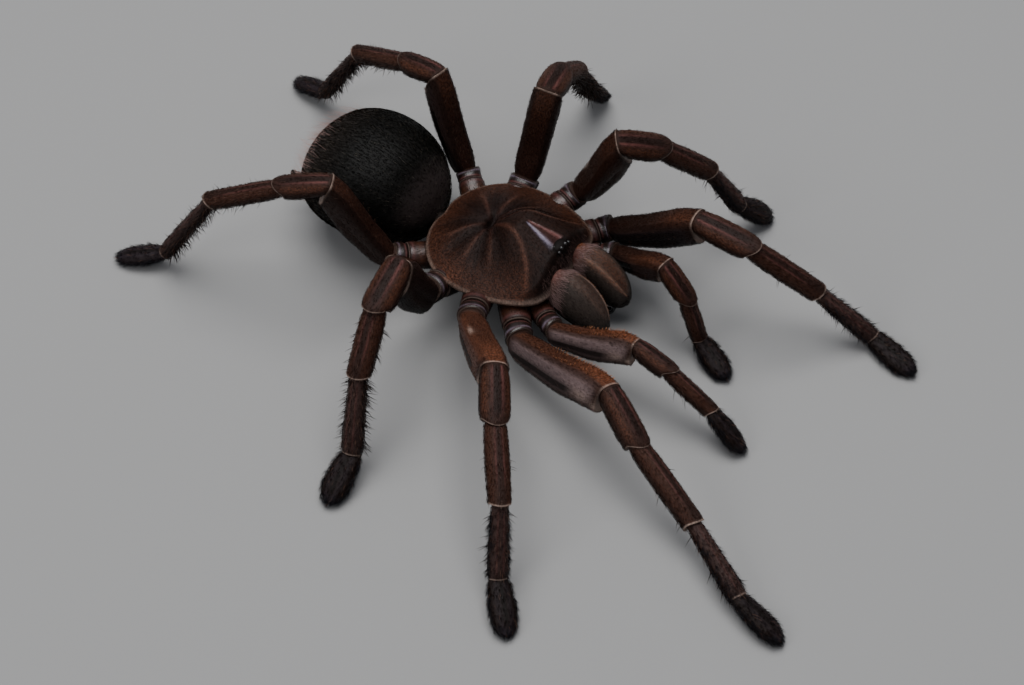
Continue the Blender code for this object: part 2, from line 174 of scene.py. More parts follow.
# %% [markdown]
# ## Skins and their masks
#
# Every skin here is a grid of points: rows along the body part, and points round each row.
# The grid makes three things easy. The way the hair lies is simply the direction from one row
# to the next. An unwrap is the row and the place in the row. And a marking is a formula in the
# same two numbers, kept on the mesh as a mask between 0 and 1, where skin and coat can both
# read it.

# %% Masks
COLOUR_MASKS = ("rust", "grey", "lilac", "dark", "bare", "pale", "shine")
COAT_MASKS = ("fur", "bristles", "spines", "brush", "comb", "fringe", "reach")
MASKS = COLOUR_MASKS + COAT_MASKS


def smooth_step(low, high, value):
    """0 at low and 1 at high. With low above high it falls instead."""
    u = np.clip((np.asarray(value, dtype=float) - low) / (high - low), 0.0, 1.0)
    return u * u * (3 - 2 * u)


def bump(centre, width, value):
    return np.exp(-(((np.asarray(value, dtype=float) - centre) / width) ** 2))


def window(low, high, soft, value):
    """1 between low and high, with edges that are soft to either side."""
    rise = smooth_step(low - soft, low + soft, value)
    return rise * (1 - smooth_step(high - soft, high + soft, value))


def full_masks(shape, **masks):
    """Every mask as an array of that shape: 0 where it isn't given, and fur and reach 1."""
    whole = {mask: np.zeros(shape) for mask in MASKS}
    whole["fur"], whole["reach"] = np.ones(shape), np.ones(shape)
    for mask, values in masks.items():
        whole[mask] = np.broadcast_to(values, shape).astype(float)
    return whole


print("masks:", ", ".join(MASKS))


# %% Closed tubes through rows of points
def turns_inward(rows):
    """Whether faces made from these rows would look into the tube."""
    around, onward = np.roll(rows, -1, axis=1)[:-1] - rows[:-1], rows[1:] - rows[:-1]
    out = rows[:-1] - rows.mean(axis=(0, 1))
    return float((np.cross(around, onward) * out).sum()) < 0


def with_poles(grid):
    """The grid's points in one list, and after them the middles of its first and last rows."""
    return np.vstack([grid.reshape(-1, 3), grid[0].mean(axis=0), grid[-1].mean(axis=0)])


def tube(rows):
    """Points and faces of a closed tube through the rows, facing outwards."""
    if turns_inward(rows):
        rows = rows[:, ::-1]
    count, around = rows.shape[:2]
    grid = np.arange(count * around).reshape(count, around)
    after = np.roll(grid, -1, axis=1)
    quads = np.stack([grid[:-1], after[:-1], after[1:], grid[1:]], axis=-1).reshape(-1, 4)
    start = np.stack([np.full(around, count * around), after[0], grid[0]], axis=-1)
    end = np.stack([np.full(around, count * around + 1), grid[-1], after[-1]], axis=-1)
    return with_poles(rows), quads.tolist() + start.tolist() + end.tolist()


def new_piece(name, points, faces):
    """A smooth object through points in millimetres."""
    mesh = bpy.data.meshes.new(name)
    mesh.from_pydata(to_metres(points).tolist(), [], faces)
    mesh.shade_smooth()
    piece = bpy.data.objects.new(name, mesh)
    bpy.context.collection.objects.link(piece)
    return piece


def add_attribute(mesh, name, values, kind="FLOAT", domain="POINT"):
    attribute = mesh.attributes.new(name, kind, domain)
    slot = "value" if kind == "FLOAT" else "vector"
    attribute.data.foreach_set(slot, np.asarray(values, dtype=np.float32).ravel())


# %% A skin with its masks, grain, lie and unwrap
UNWRAP_MARGIN = 0.01
SHORTEST_FLOW = 1e-9


def corners(*places):
    """The (u, v) places of each face's corners, face by face."""
    return np.stack([np.stack(np.broadcast_arrays(u, v), -1) for u, v in places], axis=-2).reshape(-1, 2)


def add_unwrap(mesh, around, height):
    """The skin's own unwrap, as a plain two-number attribute of each face corner."""
    left = np.arange(around) / around
    middle, right = left + 0.5 / around, left + 1 / around
    lower, upper = height[:-1, None], height[1:, None]
    places = np.vstack([
        corners((left, lower), (right, lower), (right, upper), (left, upper)),
        corners((middle, 0.0), (right, height[0]), (left, height[0])),
        corners((middle, 1.0), (left, height[-1]), (right, height[-1])),
    ])
    add_attribute(mesh, "unwrap", UNWRAP_MARGIN + (1 - 2 * UNWRAP_MARGIN) * places, "FLOAT2", "CORNER")


def grid_skin(name, rows, masks):
    """A tube with its masks, the place on it as grain, the lie of its hair, and its unwrap."""
    if turns_inward(rows):
        rows = rows[:, ::-1]
        masks = {mask: values[:, ::-1] for mask, values in masks.items()}
    skin = new_piece(name, *tube(rows))
    mesh, around = skin.data, rows.shape[1]
    steps = np.linalg.norm(np.diff(rows, axis=0, append=rows[-1:]), axis=2).mean(axis=1)
    along = np.concatenate([[0.0], np.cumsum(steps)[:-1]])
    girth = np.linalg.norm(np.roll(rows, -1, axis=1) - rows, axis=2).sum(axis=1).mean()
    across = np.arange(around) / around * girth
    grain = np.stack(np.broadcast_arrays(across, along[:, None], 0.0), axis=-1)
    flow = np.gradient(rows, axis=0)
    flow /= np.maximum(np.linalg.norm(flow, axis=2, keepdims=True), SHORTEST_FLOW)
    add_attribute(mesh, "grain", with_poles(grain), "FLOAT_VECTOR")
    add_attribute(mesh, "lie", with_poles(flow), "FLOAT_VECTOR")
    for mask in MASKS:
        values = masks[mask]
        add_attribute(mesh, mask, np.concatenate([values.ravel(), values[0, :1], values[-1, :1]]))
    add_unwrap(mesh, around, along / along[-1])
    return skin


# %% [markdown]
# ## Limb skins
#
# A spider's leg isn't a smooth sausage. Each hard tube ends in a thick pale rim, and the next
# tube starts narrower, inside it, on a ring of soft skin. So each segment gets rows of its own
# down to the rim, two rows that turn in under it, and then the next neck. At a bend both ends
# are cut along the plane that halves the angle, which is also where the plain solids part.

# %% Sections and outlines of the segments
AROUND = 48
# The skin lies this far inside the plain solid, which reaches to the tips of the coat.
COAT_DEPTH = 0.42
# Greatest width of each segment, and its reach above and below the line of the joints.
SECTIONS = {
    "coxa": (7.8, 3.4, 3.8), "trochanter": (7.4, 3.1, 3.9), "femur": (7.4, 2.3, 6.6),
    "patella": (7.4, 3.1, 3.4), "tibia": (5.9, 2.8, 2.9), "metatarsus": (5.0, 2.35, 2.45),
    "tarsus": (6.4, 2.1, 2.0),
}
# How thick each pair of limbs is beside the first legs. A palp's foot is thicker than the rest of it.
GIRTHS = {1: 1.0, 2: 1.02, 3: 1.08, 4: 0.92, PALP: 0.82}
PALP_FOOT_GIRTH = 0.95
# The share of its full section that each segment has, from its inner end at 0 to its outer end at 1.
OUTLINES = {
    "coxa": ((0, 0.80), (0.3, 1.0), (0.8, 1.0), (0.95, 0.97), (1, 0.93)),
    "trochanter": ((0, 0.84), (0.15, 0.92), (0.6, 0.98), (0.9, 0.98), (1, 0.93)),
    "femur": ((0, 0.76), (0.05, 0.85), (0.14, 0.93), (0.35, 0.96), (0.7, 1.0), (0.93, 0.99), (1, 0.96)),
    "patella": ((0, 0.80), (0.06, 0.87), (0.2, 0.95), (0.55, 1.0), (0.85, 0.99), (0.95, 0.95), (1, 0.90)),
    "tibia": ((0, 0.84), (0.05, 0.88), (0.18, 0.96), (0.5, 1.0), (0.85, 0.97), (1, 0.95)),
    "metatarsus": ((0, 0.80), (0.06, 0.82), (0.2, 0.85), (0.6, 0.96), (0.9, 0.99), (1, 0.92)),
    "tarsus": ((0, 0.72), (0.08, 0.82), (0.3, 0.95), (0.6, 1.0), (0.82, 0.86), (0.94, 0.60), (1, 0.34)),
}
# How far the upper rim reaches out over the joint.
HOODS = {"femur": -0.3, "patella": 2.2, "tibia": 0.7, "metatarsus": 0.4}
# An exponent below 1 makes a section fuller at its corners than an oval.
SQUARENESS, FEMUR_SQUARENESS = 0.95, 0.86
BODY_ROWS = np.concatenate([
    [0, 0.02, 0.045, 0.08], np.linspace(0.12, 0.90, 19), [0.93, 0.955, 0.975, 0.99, 1.0]
])
# Where the two rows that turn in under the rim are, and how wide beside it.
RIM_ROWS = ((1.0, 0.92), (0.985, 0.84))
print("rows on a segment:", len(BODY_ROWS) + len(RIM_ROWS))


# %% One segment's rows
def curve_through(points, t):
    """Smooth curve through (place, value) pairs, read at every t."""
    places = np.array([point[0] for point in points])
    values = np.array([point[1] for point in points])
    slopes = np.gradient(values, places)
    k = np.clip(np.searchsorted(places, t, side="right") - 1, 0, len(places) - 2)
    width = places[k + 1] - places[k]
    u = (t - places[k]) / width
    return (
        (2 * u**3 - 3 * u**2 + 1) * values[k] + (u**3 - 2 * u**2 + u) * slopes[k] * width
        + (3 * u**2 - 2 * u**3) * values[k + 1] + (u**3 - u**2) * slopes[k + 1] * width
    )


def swell_femur(t, sine, across, rise):
    """A femur's hump near the knee, the hollow before it, the belly, the crest and the side groove."""
    rise = rise + np.maximum(sine, 0) * (0.8 * bump(0.80, 0.16, t) - 0.7 * bump(0.30, 0.2, t))
    rise = rise + 0.9 * np.minimum(sine, 0) * bump(0.5, 0.25, t)
    rise = rise + 0.30 * bump(0.80, 0.10, sine) * window(0.15, 0.95, 0.1, t)
    groove_ends = window(0.1, 0.75, 0.1, t)
    rise = rise * (1 - 0.07 * bump(-0.42, 0.10, sine) * groove_ends)
    return across * (1 - 0.15 * bump(-0.42, 0.12, sine) * groove_ends), rise


def segment_rows(start, axes, length, section, kind, planes):
    """Points of one segment, with the fraction along it and the angle round it of each."""
    along, sideways, upward = axes
    turn = 2 * math.pi * (np.arange(AROUND) + 0.5) / AROUND
    cosine, sine = np.cos(turn), np.sin(turn)
    squareness = FEMUR_SQUARENESS if kind == "femur" else SQUARENESS
    squared_cosine = np.sign(cosine) * np.abs(cosine) ** squareness
    fullness = curve_through(OUTLINES[kind], BODY_ROWS)
    rim = () if kind == "tarsus" else RIM_ROWS
    places = np.concatenate([BODY_ROWS, [place for place, scale in rim]])
    scales = np.concatenate([fullness, [scale * fullness[-1] for place, scale in rim]])
    width, above, below = (size - COAT_DEPTH * walls for size, walls in zip(section, (2, 1, 1)))
    bends = [math.acos(min(1.0, abs(float(along @ normal)))) for normal in planes]
    hood = HOODS.get(kind, 0.0) * (np.maximum(sine, 0) ** 1.5 - 0.15)
    rows = []
    for t, scale in zip(places, scales):
        across = 0.5 * width * scale * squared_cosine
        rise = np.where(sine > 0, above, below) * scale * np.sign(sine) * np.abs(sine) ** squareness
        if kind == "femur":
            across, rise = swell_femur(t, sine, across, rise)
        soften = 1 - (1 - t) ** 3 * (1 - math.cos(bends[0])) - t**3 * (1 - math.cos(bends[1]))
        rise = np.where(rise > 0, rise * soften, rise)
        offset = across[:, None] * sideways + rise[:, None] * upward
        first = -(offset @ planes[0]) / (along @ planes[0])
        last = -(offset @ planes[1]) / (along @ planes[1])
        place = length * t + first * (1 - t) ** 2 + last * t**2 + hood * smooth_step(0.45, 1.0, t)
        rows.append(start + place[:, None] * along + offset)
    return np.array(rows), places, turn


def axes_of(joints):
    """Direction, sideways and upward axes of every tube; the two at the hip keep level."""
    alongs = [unit(b - a) for a, b in zip(joints, joints[1:])]
    level = np.array([0.0, 0.0, 1.0])
    knee = unit(np.cross(alongs[3], alongs[2]))
    if np.cross(knee, alongs[3])[2] < 0:
        knee = -knee
    axes = []
    for k, along in enumerate(alongs):
        lead = np.cross(along, level) if k < 2 else knee
        sideways = unit(lead - along * (lead @ along))
        axes.append((along, sideways, np.cross(sideways, along)))
    return axes


# %% [markdown]
# ### Markings of a limb
#
# Each marking is written once, as a formula of three numbers: how far along the segment (0 to
# 1), how far up its side (1 on the back, -1 underneath), and which flank. A femur has a narrow
# back, rusty on the right palp and the first two right legs and darkened by painted shade on the
# others, and one dark groove along its hind flank, which is mauve grey on the palps and the first
# legs. A patella carries two bald lines that meet in a U, painted pink as highlights, and a tibia
# repeats them faintly. Every hard tube ends in a thin pale rim, and the foot darkens to black.

# %% Places on a segment
def places_on(limb, t, turn):
    """Where every point of a segment is: t along it, its height, its flank, its angle off the back."""
    t, height = t[:, None], np.sin(turn)[None, :]
    return SimpleNamespace(
        t=t, height=height, number=limb.number, right=limb.side == "right",
        # 1 on the limb's hind flank and -1 on its front flank.
        flank=-SIDES[limb.side] * np.cos(turn)[None, :],
        off_back=np.abs(np.degrees(turn) - 90.0)[None, :],
        rim=smooth_step(0.974, 0.994, t),
        top=smooth_step(-0.2, 0.5, height),
        low=smooth_step(0.2, -0.5, height),
        hind_leg=limb.number in (3, 4),
    )


# %% Hips
def hip_masks(at):
    """Hips are dark and thinly furred, with a rusty band and a shine, and painted shade darkens them
    underneath and at their inner ends.
    """
    return {
        "rust": 0.35 * bump(0.75, 0.12, at.t) * at.top,
        # Painted shade: darker underneath and at the inner end, where the hip goes in under the body.
        "dark": 0.70 + 0.3 * at.low + 0.3 * bump(0.0, 0.15, at.t) - 0.25 * bump(0.72, 0.12, at.t),
        "pale": 0.14 * at.rim,
        "shine": window(0.1, 0.95, 0.03, at.t) * at.top,
        "fur": 0.45,
        "bristles": 0.6,
        "reach": 0.6,
    }


def coxa_masks(at):
    """A coxa has one bald band near its outer end."""
    return hip_masks(at) | {"bare": 0.22 * bump(0.90, 0.04, at.t) * at.top}


def trochanter_masks(at):
    """A trochanter is bald at its neck, and beyond it a mauve band is a painted reflection of the sky."""
    # The lilac band is a painted reflection of the sky on the bare shell.
    band = 0.55 * bump(0.70, 0.10, at.t) * at.top * (1 - 0.6 * bump(0.1, 0.3, at.flank))
    return hip_masks(at) | {"lilac": band, "bare": 0.30 * bump(0.18, 0.07, at.t) * at.top}


# %% Femur
# How much of the mauve grey each limb's flank has.
FLANK_GREY = {PALP: 1.0, 1: 1.0, 2: 0.12, 3: 0.15, 4: 0.15}


def femur_masks(at):
    """The markings of all femora, and after them those that only some limbs have."""
    t, height = at.t, at.height
    hind_flank, front_flank = smooth_step(-0.1, 0.2, at.flank), smooth_step(0.1, -0.2, at.flank)
    ends = window(0.04, 0.93, 0.06, t)
    sides = smooth_step(0.97, 0.70, height) * smooth_step(-0.95, -0.75, height) * ends
    crest, under = smooth_step(0.70, 0.97, height), smooth_step(-0.60, -0.90, height)
    groove = bump(-0.50, 0.12, height) * window(0.03, 0.70, 0.06, t) * hind_flank
    # Painted shade darkens the backs of the left and rear femora and dims the rust on them.
    shaded_back = 0.0 if at.number < 3 and at.right else 0.5
    corner = bump(0.97, 0.025, t) * bump(-0.60, 0.14, height) * hind_flank
    rim_light = np.maximum(bump(0.95, 0.30, height), bump(-0.6, 0.2, height))
    rusty_back = crest * (0.22 + 0.36 * bump(0.88, 0.25, t))
    marks = {
        "grey": FLANK_GREY[at.number] * ends * (0.2 + 0.8 * hind_flank) * bump(-0.12, 0.48, height),
        "rust": (rusty_back + 0.32 * sides * (at.number == 2)) * (1 - 0.8 * shaded_back),
        # Under the femur the dark mask is painted shade.
        "dark": np.clip(1.1 * groove + 0.40 * under + shaded_back, 0, 1),
        "pale": at.rim * (0.10 + 0.45 * rim_light) + 0.60 * corner,
        "bare": 0.45 * bump(0.975, 0.02, t) * bump(-0.85, 0.12, height) * hind_flank,
        "fur": 0.9 - 0.85 * groove - 0.4 * bump(0.02, 0.04, t) - 0.25 * sides,
        "bristles": 0.25 + 0.4 * crest,
        "reach": 0.85,
    }
    if at.number in (PALP, 1):
        patch = bump(0.82, 0.09, t) * bump(-0.40, 0.22, height) * hind_flank
        marks["pale"] = marks["pale"] + 0.42 * patch
        rows_of_bristles = bump(0.84, 0.09, height) * window(0.30, 0.97, 0.06, t)
        marks["comb"] = rows_of_bristles * (1 - 0.7 * hind_flank) * at.right
    if at.number == PALP:
        # A black hollow in the front flank, with a rusty upper edge beyond it.
        hollow = bump(0.26, 0.15, t) * bump(-0.15, 0.35, height) * front_flank
        edge = front_flank * smooth_step(0.0, 0.7, height) * window(0.4, 0.95, 0.2, t)
        marks["dark"] = np.clip(marks["dark"] + 1.2 * hollow, 0, 1)
        marks["rust"] = marks["rust"] + 0.40 * edge
        marks["fur"] = marks["fur"] * (1 - hollow)
        marks["shine"] = 1.1 * hollow
    if at.number == 1:
        # A cool dark front flank, rusty near the knee.
        cool = smooth_step(0.35, -0.05, height) * front_flank * window(0.02, 0.90, 0.08, t)
        knee = smooth_step(0.3, 0.7, height) * bump(0.85, 0.2, t)
        marks["dark"] = np.clip(marks["dark"] + 0.40 * cool, 0, 1)
        marks["lilac"] = 0.07 * cool
        marks["rust"] = marks["rust"] + 0.25 * front_flank * knee
    if at.number == 2:
        # One bald glossy spot high on the hind flank, painted pale as a highlight.
        spot = bump(0.38, 0.06, t) * bump(0.72, 0.15, height) * hind_flank
        marks["pale"] = marks["pale"] + 0.60 * spot
        marks["fur"] = marks["fur"] * (1 - 0.9 * spot)
        marks["shine"] = 1.2 * spot
    return marks


# %% Patella and tibia
def hairpin(t, off_back, spread, end, width):
    """Two lines spread degrees either side of the back that close in a U before the end."""
    bow = 0.22
    closing = np.sqrt(np.clip(1 - (np.clip(t - (end - bow), 0, None) / bow) ** 2, 0, 1))
    return bump(0, width, off_back - spread * closing) * window(0.06, end, 0.03, t)


def patella_masks(at):
    # The two bald lines are painted pink as highlights, stronger on the front flank and fading towards the
    # outer end.
    line = hairpin(at.t, at.off_back, 20.0, 0.92, 5.5)
    strength = np.where(at.flank > 0, 0.22, 0.42) * smooth_step(1.1, 0.1, at.t)
    between = window(-1, 17, 5, at.off_back) * window(0.06, 0.84, 0.08, at.t)
    return {
        "bare": strength * line,
        # Painted shade darkens the underside.
        "dark": 0.34 * between + 0.22 + 0.35 * at.low,
        # Painted sheen along the sides, in rust.
        "rust": 0.30 * window(34, 70, 14, at.off_back) * window(0.1, 0.9, 0.15, at.t),
        "pale": at.rim * smooth_step(-0.6, 0.3, at.height) * (0.22 + 0.3 * np.abs(at.flank)),
        "fur": 0.9 * (1 - 0.6 * line),
        "bristles": 0.3,
        "fringe": smooth_step(0.93, 0.97, at.t) * smooth_step(-0.4, 0.3, at.height),
        "reach": 0.7 + 0.2 * at.low,
    }


def tibia_masks(at):
    # The faint bald line is painted pink as a highlight, like the patella's.
    line = bump(0, 4.5, at.off_back - 15 - 5 * at.t) * window(0.06, 0.72, 0.15, at.t)
    between = window(-1, 13, 4, at.off_back) * window(0.1, 0.7, 0.1, at.t)
    below = smooth_step(0.6, 0.0, at.height)
    return {
        "bare": 0.22 * line,
        "dark": 0.22 * between + (0.12 + 0.2 * at.t**2),
        "rust": 0.15 * window(25, 80, 15, at.off_back),
        "pale": at.rim * (0.40 + 0.35 * np.abs(at.flank)),
        "fur": 0.95 * (1 - 0.4 * line),
        "bristles": 0.9 if at.hind_leg else 0.5,
        "spines": (1.0 if at.hind_leg else 0.12) * below * window(0.35, 0.98, 0.2, at.t),
        "fringe": smooth_step(0.94, 0.98, at.t) * at.top,
        "reach": 0.8 + 0.3 * at.low,
    }


# %% Metatarsus and tarsus
def metatarsus_masks(at):
    line = bump(0, 6, at.off_back - 20) * window(0.08, 0.9, 0.06, at.t)
    below_back = smooth_step(0.85, 0.3, at.height)
    to_the_sides = bump(0.05, 0.45, at.height) * smooth_step(0.05, 0.35, at.t)
    return {
        "dark": 0.12 + 0.30 * at.t,
        "grey": 0.10 * at.top,
        "bare": 0.14 * line,
        "pale": 0.55 * at.rim * smooth_step(-0.3, 0.5, at.height),
        "bristles": 1.0 if at.hind_leg else 0.8,
        "spines": (1.8 if at.hind_leg else 0.2) * below_back * window(0.0, 0.9, 0.08, at.t),
        "brush": to_the_sides * (0.2 if at.hind_leg else 1.0),
        "fringe": 0.5 * smooth_step(0.95, 0.98, at.t) * smooth_step(0.3, 0.7, at.height),
        "reach": 1.0 + 0.3 * at.low,
    }


def tarsus_masks(at):
    """A black foot with a balder seam along its back and a bluish sheen either side of it."""
    seam = bump(0, 7, at.off_back) * window(0.1, 0.85, 0.08, at.t)
    beside_seam = bump(24, 14, at.off_back) * (1 - seam)
    cool = 0.10 if at.number == 4 else 0.0
    return {
        "dark": np.clip(0.84 + 0.2 * seam, 0, 1),
        "lilac": 0.20 * smooth_step(0.80, 1.0, at.t) + 0.11 * beside_seam + cool,
        "fur": 0.9 - 0.5 * seam,
        "bristles": 0.5,
        "brush": np.maximum(smooth_step(0.6, 0.2, at.height), smooth_step(0.86, 0.96, at.t)),
        "reach": 0.95,
    }


# %% All the masks of a segment
MARKS_OF = {
    "coxa": coxa_masks, "trochanter": trochanter_masks, "femur": femur_masks, "patella": patella_masks,
    "tibia": tibia_masks, "metatarsus": metatarsus_masks, "tarsus": tarsus_masks,
}


def close_membranes(masks, kind, height):
    """The first rows and the rows behind the rim are soft skin: no fur, and pale low down."""
    rim = len(RIM_ROWS)
    for mask in ("fur", "bristles", "spines", "brush", "comb"):
        masks[mask][:2] = 0.0
        if kind != "tarsus":
            masks[mask][-rim:] = 0.0
    if kind == "tarsus":
        return
    soft = 0.2 + 0.6 * smooth_step(0.2, -0.5, height)
    masks["pale"][-rim:] = soft * (0.9 if kind == "femur" else 0.4)
    masks["dark"][-rim:] = 0.3
    masks["fringe"][-rim:] = 0.0
    masks["fur"][-1 - rim :] *= 0.5


def segment_masks(limb, kind, t, turn):
    """Masks of one segment, each an array of rows by points round the row."""
    masks = full_masks((len(t), len(turn)), **MARKS_OF[kind](places_on(limb, t, turn)))
    close_membranes(masks, kind, np.sin(turn))
    return masks


# %% Ten limb skins
# No foot's skin comes nearer to the floor than this.
FLOOR_GAP = 0.3


def make_limb(limb):
    """One skin from inside the body to the claws."""
    joints = limb.joints
    limb.axes = axes = axes_of(joints)
    planes = [axes[0][0]] + [unit(a[0] + b[0]) for a, b in zip(axes, axes[1:])] + [axes[-1][0]]
    rows, masks = [], []
    for k, kind in enumerate(limb.segments):
        length = np.linalg.norm(joints[k + 1] - joints[k])
        palp_foot = kind == "tarsus" and limb.number == PALP
        girth = PALP_FOOT_GIRTH if palp_foot else GIRTHS[limb.number]
        section = [size * girth for size in SECTIONS[kind]]
        points, t, turn = segment_rows(joints[k], axes[k], length, section, kind, planes[k : k + 2])
        if kind == "tarsus":
            points[..., 2] = np.maximum(points[..., 2], FLOOR_GAP)
        rows.append(points)
        masks.append(segment_masks(limb, kind, t, turn))
    whole = {mask: np.vstack([part[mask] for part in masks]) for mask in MASKS}
    limb.skin = grid_skin(limb.name + "_skin", np.vstack(rows), whole)


for limb in limbs:
    make_limb(limb)
print("limb skins:", len(limbs), "with", len(limbs[0].skin.data.vertices), "points on a leg")

# %% [markdown]
# ## Body skins
#
# The trunk, the jaws, the abdomen and the spinnerets are all ovals strung along a line, so one
# loft makes them. It is keyed by section number and not by distance. Close sections near the
# ends then round them off by themselves.

# %% Lofts through oval sections
def oval_loft(sections, around, count):
    """Rows of points through (forward, left, up, half width, half height) sections.

    It also returns how far along each row is, from 0 to 1, and the angle round the row."""
    t = np.linspace(0, len(sections) - 1, count)
    forward, left, up, wide, high = (
        curve_through([(k, section[i]) for k, section in enumerate(sections)], t)[:, None] for i in range(5)
    )
    turn = 2 * math.pi * (np.arange(around) + 0.5) / around
    across, rise = wide * np.cos(turn), high * np.sin(turn)
    return np.stack([left + across, -forward + 0 * across, up + rise], axis=-1), t / t[-1], turn


def on_midline(sections):
    """(forward, up, half width, half height) sections, set in the middle of the body."""
    return [(forward, 0.0, up, wide, high) for forward, up, wide, high in sections]


# %% [markdown]
# ### The abdomen
#
# The abdomen is a soft bag with no plates. Its velvet is nearly black, with an olive cast and
# a dusting of pale hairs. It is balder on the slope above the waist, where the carapace almost
# touches it, and a painted grey sheen lies on that slope.

# %% The abdomen
# Forward, up, half width and half height, from the waist to the rear.
ABDOMEN_SECTIONS = (
    (-17.9, 12.7, 1.2, 1.0), (-18.3, 12.9, 3.6, 3.0), (-19.4, 13.8, 7.3, 6.0),
    (-21.9, 15.0, 10.9, 8.9), (-26.5, 16.5, 14.4, 11.6), (-33.0, 17.3, 16.5, 12.8),
    (-39.5, 17.5, 16.4, 12.9), (-45.3, 17.2, 14.4, 11.4), (-49.4, 16.6, 10.6, 8.5),
    (-51.8, 16.0, 5.9, 4.9), (-52.6, 15.8, 2.0, 1.8),
)
MIDLINE_FURROW = 0.35


def make_abdomen():
    rows, _, turn = oval_loft(on_midline(ABDOMEN_SECTIONS), around=120, count=84)
    forward, height = -rows[..., 1], np.sin(turn)[None, :]
    front = smooth_step(-25.0, -19.5, forward)
    rows[..., 2] -= MIDLINE_FURROW * bump(0, 1.6, rows[..., 0]) * front * (height > 0)
    masks = full_masks(
        forward.shape,
        # A painted grey sheen on the bald slope above the waist.
        grey=0.10 * front * smooth_step(-0.2, 0.7, height),
        pale=0.04 * smooth_step(-36, -50, forward),
        # Painted shade underneath.
        dark=0.5 * smooth_step(0.2, -0.6, height),
        fur=1 - 0.5 * front * smooth_step(-0.2, 0.6, height),
        bristles=0.5 + 0.5 * smooth_step(-30, -48, forward),
        fringe=smooth_step(-42, -50, forward) * smooth_step(-0.6, 0.1, height),
        reach=0.85 + 0.3 * smooth_step(-34, -50, forward) + 0.2 * smooth_step(0.5, -0.5, height),
    )
    return grid_skin("abdomen_skin", rows, masks)


abdomen_skin = make_abdomen()
print("abdomen:", len(abdomen_skin.data.polygons), "faces")

# %% Spinnerets
# Forward, out, up and radius.
SPINNERET_SECTIONS = (
    (-48.0, 2.0, 10.0, 1.45), (-50.4, 2.4, 9.0, 1.4), (-52.6, 2.8, 8.5, 1.3), (-55.2, 3.3, 8.5, 1.0),
    (-58.0, 4.0, 9.5, 0.55),
)
SPINNERET_JOINTS = (0.42, 0.70)
SPINNERET_WAIST = 0.16


def on_side(side, sections):
    """(forward, out, up, radius) sections, set on one side of the body."""
    return [(forward, SIDES[side] * out, up, radius, radius) for forward, out, up, radius in sections]


def make_spinneret(side):
    rows, t, _ = oval_loft(on_side(side, SPINNERET_SECTIONS), around=24, count=40)
    joint = sum(bump(place, 0.03, t) for place in SPINNERET_JOINTS)
    middle = rows.mean(axis=1, keepdims=True)
    rows = middle + (rows - middle) * (1 - SPINNERET_WAIST * joint)[:, None, None]
    masks = full_masks(rows.shape[:2], dark=0.3, pale=0.3 * joint[:, None], reach=0.7)
    return grid_skin(side + "_spinneret_skin", rows, masks)


spinneret_skins = [make_spinneret(side) for side in SIDES]
print("spinnerets:", len(spinneret_skins))

# %% [markdown]
# ### The trunk and the jaws
#
# Under the carapace a dark trunk ends below in the breastplate, and the ten limb roots grow
# out of it. Each jaw is a heavy oval that leans forward and down, flattened where the two
# meet. A pale ridge runs along its back beside the inner edge. The left jaw is the warmer
# brown one, and the orange skin of its joint shows at its base.

# %% The trunk
# Forward, up, half width and half height, from the waist to the jaws.
TRUNK_SECTIONS = (
    (-19.0, 12.4, 1.6, 1.5), (-17.0, 12.2, 2.0, 1.8), (-14.6, 11.4, 3.0, 2.2), (-11.5, 10.2, 6.8, 3.2),
    (-5.0, 10.0, 10.0, 3.7), (3.0, 10.0, 10.2, 3.7), (9.0, 10.0, 8.0, 3.5), (13.5, 10.2, 5.2, 3.0),
    (16.5, 10.8, 3.2, 2.6), (18.2, 11.2, 1.4, 1.4),
)


def make_trunk():
    rows, _, turn = oval_loft(on_midline(TRUNK_SECTIONS), around=64, count=56)
    below = smooth_step(-0.3, -0.7, np.sin(turn))[None, :]
    masks = full_masks(rows.shape[:2], dark=0.6, fur=0.2 + 0.8 * below, bristles=0.5 * below, reach=0.8)
    return grid_skin("trunk_skin", rows, masks)


trunk_skin = make_trunk()
print("trunk:", len(trunk_skin.data.polygons), "faces")

# %% Jaws
JAW_START, JAW_TIP, JAW_ARCH = (18.7, 4.75, 13.5), (JAW_END, 4.75, 8.8), 1.0
# How far along the jaw, and half its width and height there.
JAW_PROFILE = (
    (-0.14, 1.8, 2.4), (-0.10, 3.2, 4.8), (0.0, 3.8, 5.5), (0.15, 4.1, 6.4), (0.35, 4.2, 6.7),
    (0.55, 4.15, 6.3), (0.75, 3.65, 5.1), (0.87, 2.9, 3.9), (0.95, 1.9, 2.5), (0.985, 1.2, 1.5),
    (1.0, 0.6, 0.8),
)
JAW_FLATTENING = 0.45
# How warm the back of each jaw is, how pale its ridge, and whether its joint's orange skin shows.
JAW_LOOKS = {
    "left": {"warmth": 0.34, "ridge_pale": 0.20, "joint_skin": True},
    "right": {"warmth": 0.14, "ridge_pale": 0.46, "joint_skin": False},
}


def jaw_sections(side):
    sections = []
    for t, wide, high in JAW_PROFILE:
        forward, out, up = (a + (b - a) * t for a, b in zip(JAW_START, JAW_TIP))
        up += JAW_ARCH * math.sin(math.pi * max(0.0, t))
        sections.append((forward, SIDES[side] * out, up, wide, high))
    return sections


